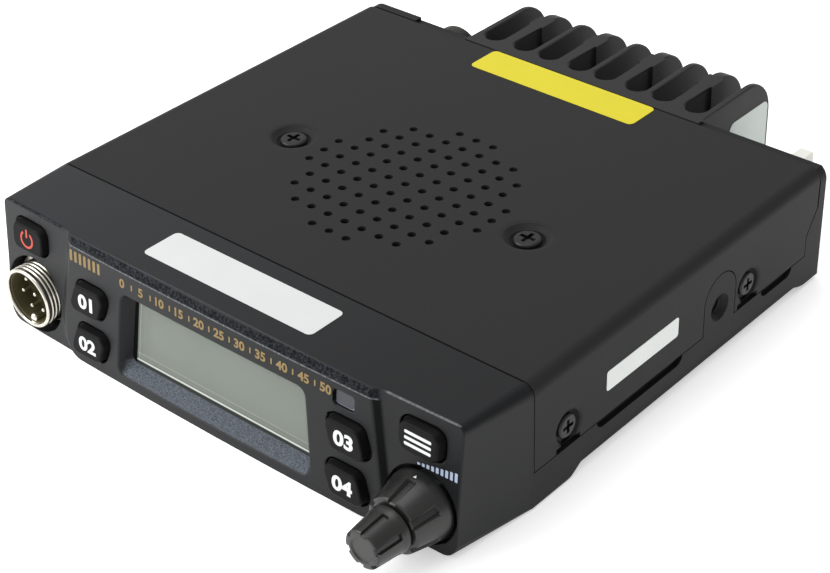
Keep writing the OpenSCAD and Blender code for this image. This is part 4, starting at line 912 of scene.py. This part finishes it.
ring_r, ring_end_r, ring_bore_r = 8.1, 6.4, 3.1
ring = turned([(ring_bore_r, 0), (ring_r, 0), (ring_r, -1), (7.74, -2.65), (7.67, -2.95),
               (ring_end_r, -ring_d), (ring_bore_r, -ring_d)], knob_steps)
soften(ring, end_rim(ring, ring_d, 5), knob_rounding, 4, 0)
slot_grip(ring, 30, 0.85, 0.75, -2.8, 5)
moved(ring, knob_x, ring_high.y, knob_z)
make("squelch_ring", ring, "squelch_control", knob_plastic, ["squelch_knob"])
cap_r, cap_end_r, dish_floor = 5.3, 4.4, 0.3 - cap_d
knob_cap = turned([(0, 0), (cap_r, 0), (cap_r, -1.1), (5.12, -1.5), (5.07, -1.9), (5.04, -2.1),
                   (cap_end_r, -cap_d), (3, -cap_d), (2.6, dish_floor), (0, dish_floor)],
                  knob_steps, False)
soften(knob_cap, end_rim(knob_cap, cap_d, 4), knob_rounding, 4, 0)
slot_grip(knob_cap, 21, 0.75, 0.6, -2, 3.5)
moved(knob_cap, knob_x, cap_high.y, knob_z)
make("volume_cap", knob_cap, "volume_control", knob_plastic, ["volume_knob"])
pointer = bmesh.new()
bmesh.ops.create_circle(pointer, cap_ends=True, segments=3, radius=0.42)
pointer_t = 0.12
pointer_r = 7.86
extruded = bmesh.ops.extrude_face_region(pointer, geom=pointer.faces[:])["geom"]
pointer_top = [v for v in extruded if isinstance(v, bmesh.types.BMVert)]
bmesh.ops.translate(pointer, vec=(0, 0, pointer_t), verts=pointer_top)
bmesh.ops.recalc_face_normals(pointer, faces=pointer.faces)
ring_slope = Matrix.Rotation(math.atan((ring_r - ring_end_r) / (ring_d - 1)), 3, "X")
bmesh.ops.rotate(pointer, cent=(0, 0, 0), matrix=ring_slope, verts=pointer.verts)
moved(pointer, knob_x, ring_high.y - 1.9, knob_z + pointer_r)
make("squelch_pointer", pointer, "squelch_control", white_ink)

# Stickers
# Blank stickers of coated paper and film: a white one on the panel, a yellow one at the rear of the
# cover, and white ones on the right side and on the last fin.


def sticker(name, colour, paler, bm):
    """A thin coated sheet, a little uneven, with a dulled cut edge."""
    finish = Finish(name)
    fibre = finish.noise(0.4, 3)
    shadow = finish.noise(9, 2)
    finish.set(
        Base_Color=finish.mix(fibre * 0.5 + shadow * 0.5, shade(colour), shade(paler)),
        Roughness=0.38 + fibre * 0.15,
        Normal=finish.bump(finish.noise(3, 2) + fibre * 0.2, 0.02),
    )
    soften(bm, sharp(bm, 60, lambda e: True), 0.03, 1, 0)
    make(name, bm, "radio", finish)


sheet_t = 0.12


def on_side(bm, x, y, z):
    """Stands a flat shape up against a wall that faces right."""
    turn = Matrix(((0, 0, 1, x), (1, 0, 0, y), (0, 1, 0, z), (0, 0, 0, 1)))
    bmesh.ops.transform(bm, matrix=turn, verts=bm.verts)
    return bm


panel_sheet = moved(plate(49.9, 10.4, 1.3, sheet_t), -0.55, -14.6, case_h)
sticker("panel_sticker", "#c6c8c7", "#d2d4d3", panel_sheet)
rear_sheet = moved(plate(49.8, 10.2, 1.4, sheet_t), -0.7, 95.6, case_h)
sticker("rear_sticker", "#cdbf00", "#d8cb05", rear_sheet)
side_sheet = on_side(plate(25.6, 5.0, 0.7, sheet_t), half_w, 32.05, 18.2)
sticker("side_sticker", "#d9dedb", "#eef1ee", side_sheet)
last_fin_x = box_mm("heat_sink")[1].x
fin_sheet = on_side(plate(17, 14.5, 2, sheet_t), last_fin_x, 124, 17)
sticker("fin_sticker", "#bfc8c4", "#d3dad6", fin_sheet)

# Studio
# A pale floor that runs up into a white surround, soft lights from above, and the camera at the
# angle of the photograph.
camera_at = Vector((0.25574, -0.24289, 0.25765))
camera_azimuth = 41.02
camera_elevation = 33.78
camera_roll = -1.35
azimuth, elevation, roll = [math.radians(a) for a in (camera_azimuth, camera_elevation, camera_roll)]
level_right = Vector((math.cos(azimuth), math.sin(azimuth), 0))
back = Vector((math.sin(azimuth) * math.cos(elevation), -math.cos(azimuth) * math.cos(elevation),
               math.sin(elevation)))
level_up = back.cross(level_right)
right = math.cos(roll) * level_right + math.sin(roll) * level_up
up = back.cross(right)
camera = bpy.data.objects.new("camera", bpy.data.cameras.new("camera"))
camera.data.sensor_width = 36
camera.data.lens = 84.45
camera.data.shift_x = -0.0404
camera.data.shift_y = -0.0055
camera.data.clip_start = 0.01
camera.matrix_world = Matrix((
    (right.x, up.x, back.x, camera_at.x), (right.y, up.y, back.y, camera_at.y),
    (right.z, up.z, back.z, camera_at.z), (0, 0, 0, 1)))
bpy.context.scene.collection.objects.link(camera)
bpy.context.scene.camera = camera

floor_bm = bmesh.new()
bmesh.ops.create_grid(floor_bm, x_segments=2, y_segments=2, size=3)
floor_mesh = bpy.data.meshes.new("floor")
floor_bm.to_mesh(floor_mesh)
floor_bm.free()
floor_paper = Finish("floor_paper")
floor_paper.set(
    Base_Color=floor_paper.mix(floor_paper.noise(400), shade("#f4f4f3"), shade("#fafafa")),
    Roughness=0.8 + floor_paper.noise(3) * 0.05,
    Emission_Color=(1, 1, 1, 1),
    Emission_Strength=0.42,
)
floor_mesh.materials.append(floor_paper.material)
floor = bpy.data.objects.new("floor", floor_mesh)
bpy.context.scene.collection.objects.link(floor)

world = bpy.data.worlds.new("surround")
bpy.context.scene.world = world
world.use_nodes = True
sky = world.node_tree
sky.nodes["Background"].inputs["Color"].default_value = (1, 1, 1, 1)
toward = sky.nodes.new("ShaderNodeVectorMath")
toward.operation = "DOT_PRODUCT"
toward.inputs[1].default_value = (-0.75, -0.35, 0.4)
glow = sky.nodes.new("ShaderNodeMapRange")
glow.inputs["From Min"].default_value = -0.7
glow.inputs["From Max"].default_value = 0.7
glow.inputs["To Min"].default_value = 0.45
glow.inputs["To Max"].default_value = 0.9
direction = sky.nodes.new("ShaderNodeTexCoord")
sky.links.new(direction.outputs["Generated"], toward.inputs[0])
sky.links.new(toward.outputs["Value"], glow.inputs["Value"])
sky.links.new(glow.outputs["Result"], sky.nodes["Background"].inputs["Strength"])
bpy.context.scene.view_settings.view_transform = "Standard"


aim = Vector((0, 0.04, 0.02))


def soft_light(name, at, size, power):
    """A square area light turned toward the middle of the radio."""
    light = bpy.data.lights.new(name, "AREA")
    light.shape = "SQUARE"
    light.size = size
    light.energy = power
    lamp_object = bpy.data.objects.new(name, light)
    lamp_object.location = at
    lamp_object.rotation_mode = "QUATERNION"
    lamp_object.rotation_quaternion = (aim - Vector(at)).to_track_quat("-Z", "Y")
    bpy.context.scene.collection.objects.link(lamp_object)


soft_light("overhead", (-0.1, 0.1, 1.3), 0.8, 4)
soft_light("front_left", (-0.34, -0.32, 0.36), 0.4, 2.3)
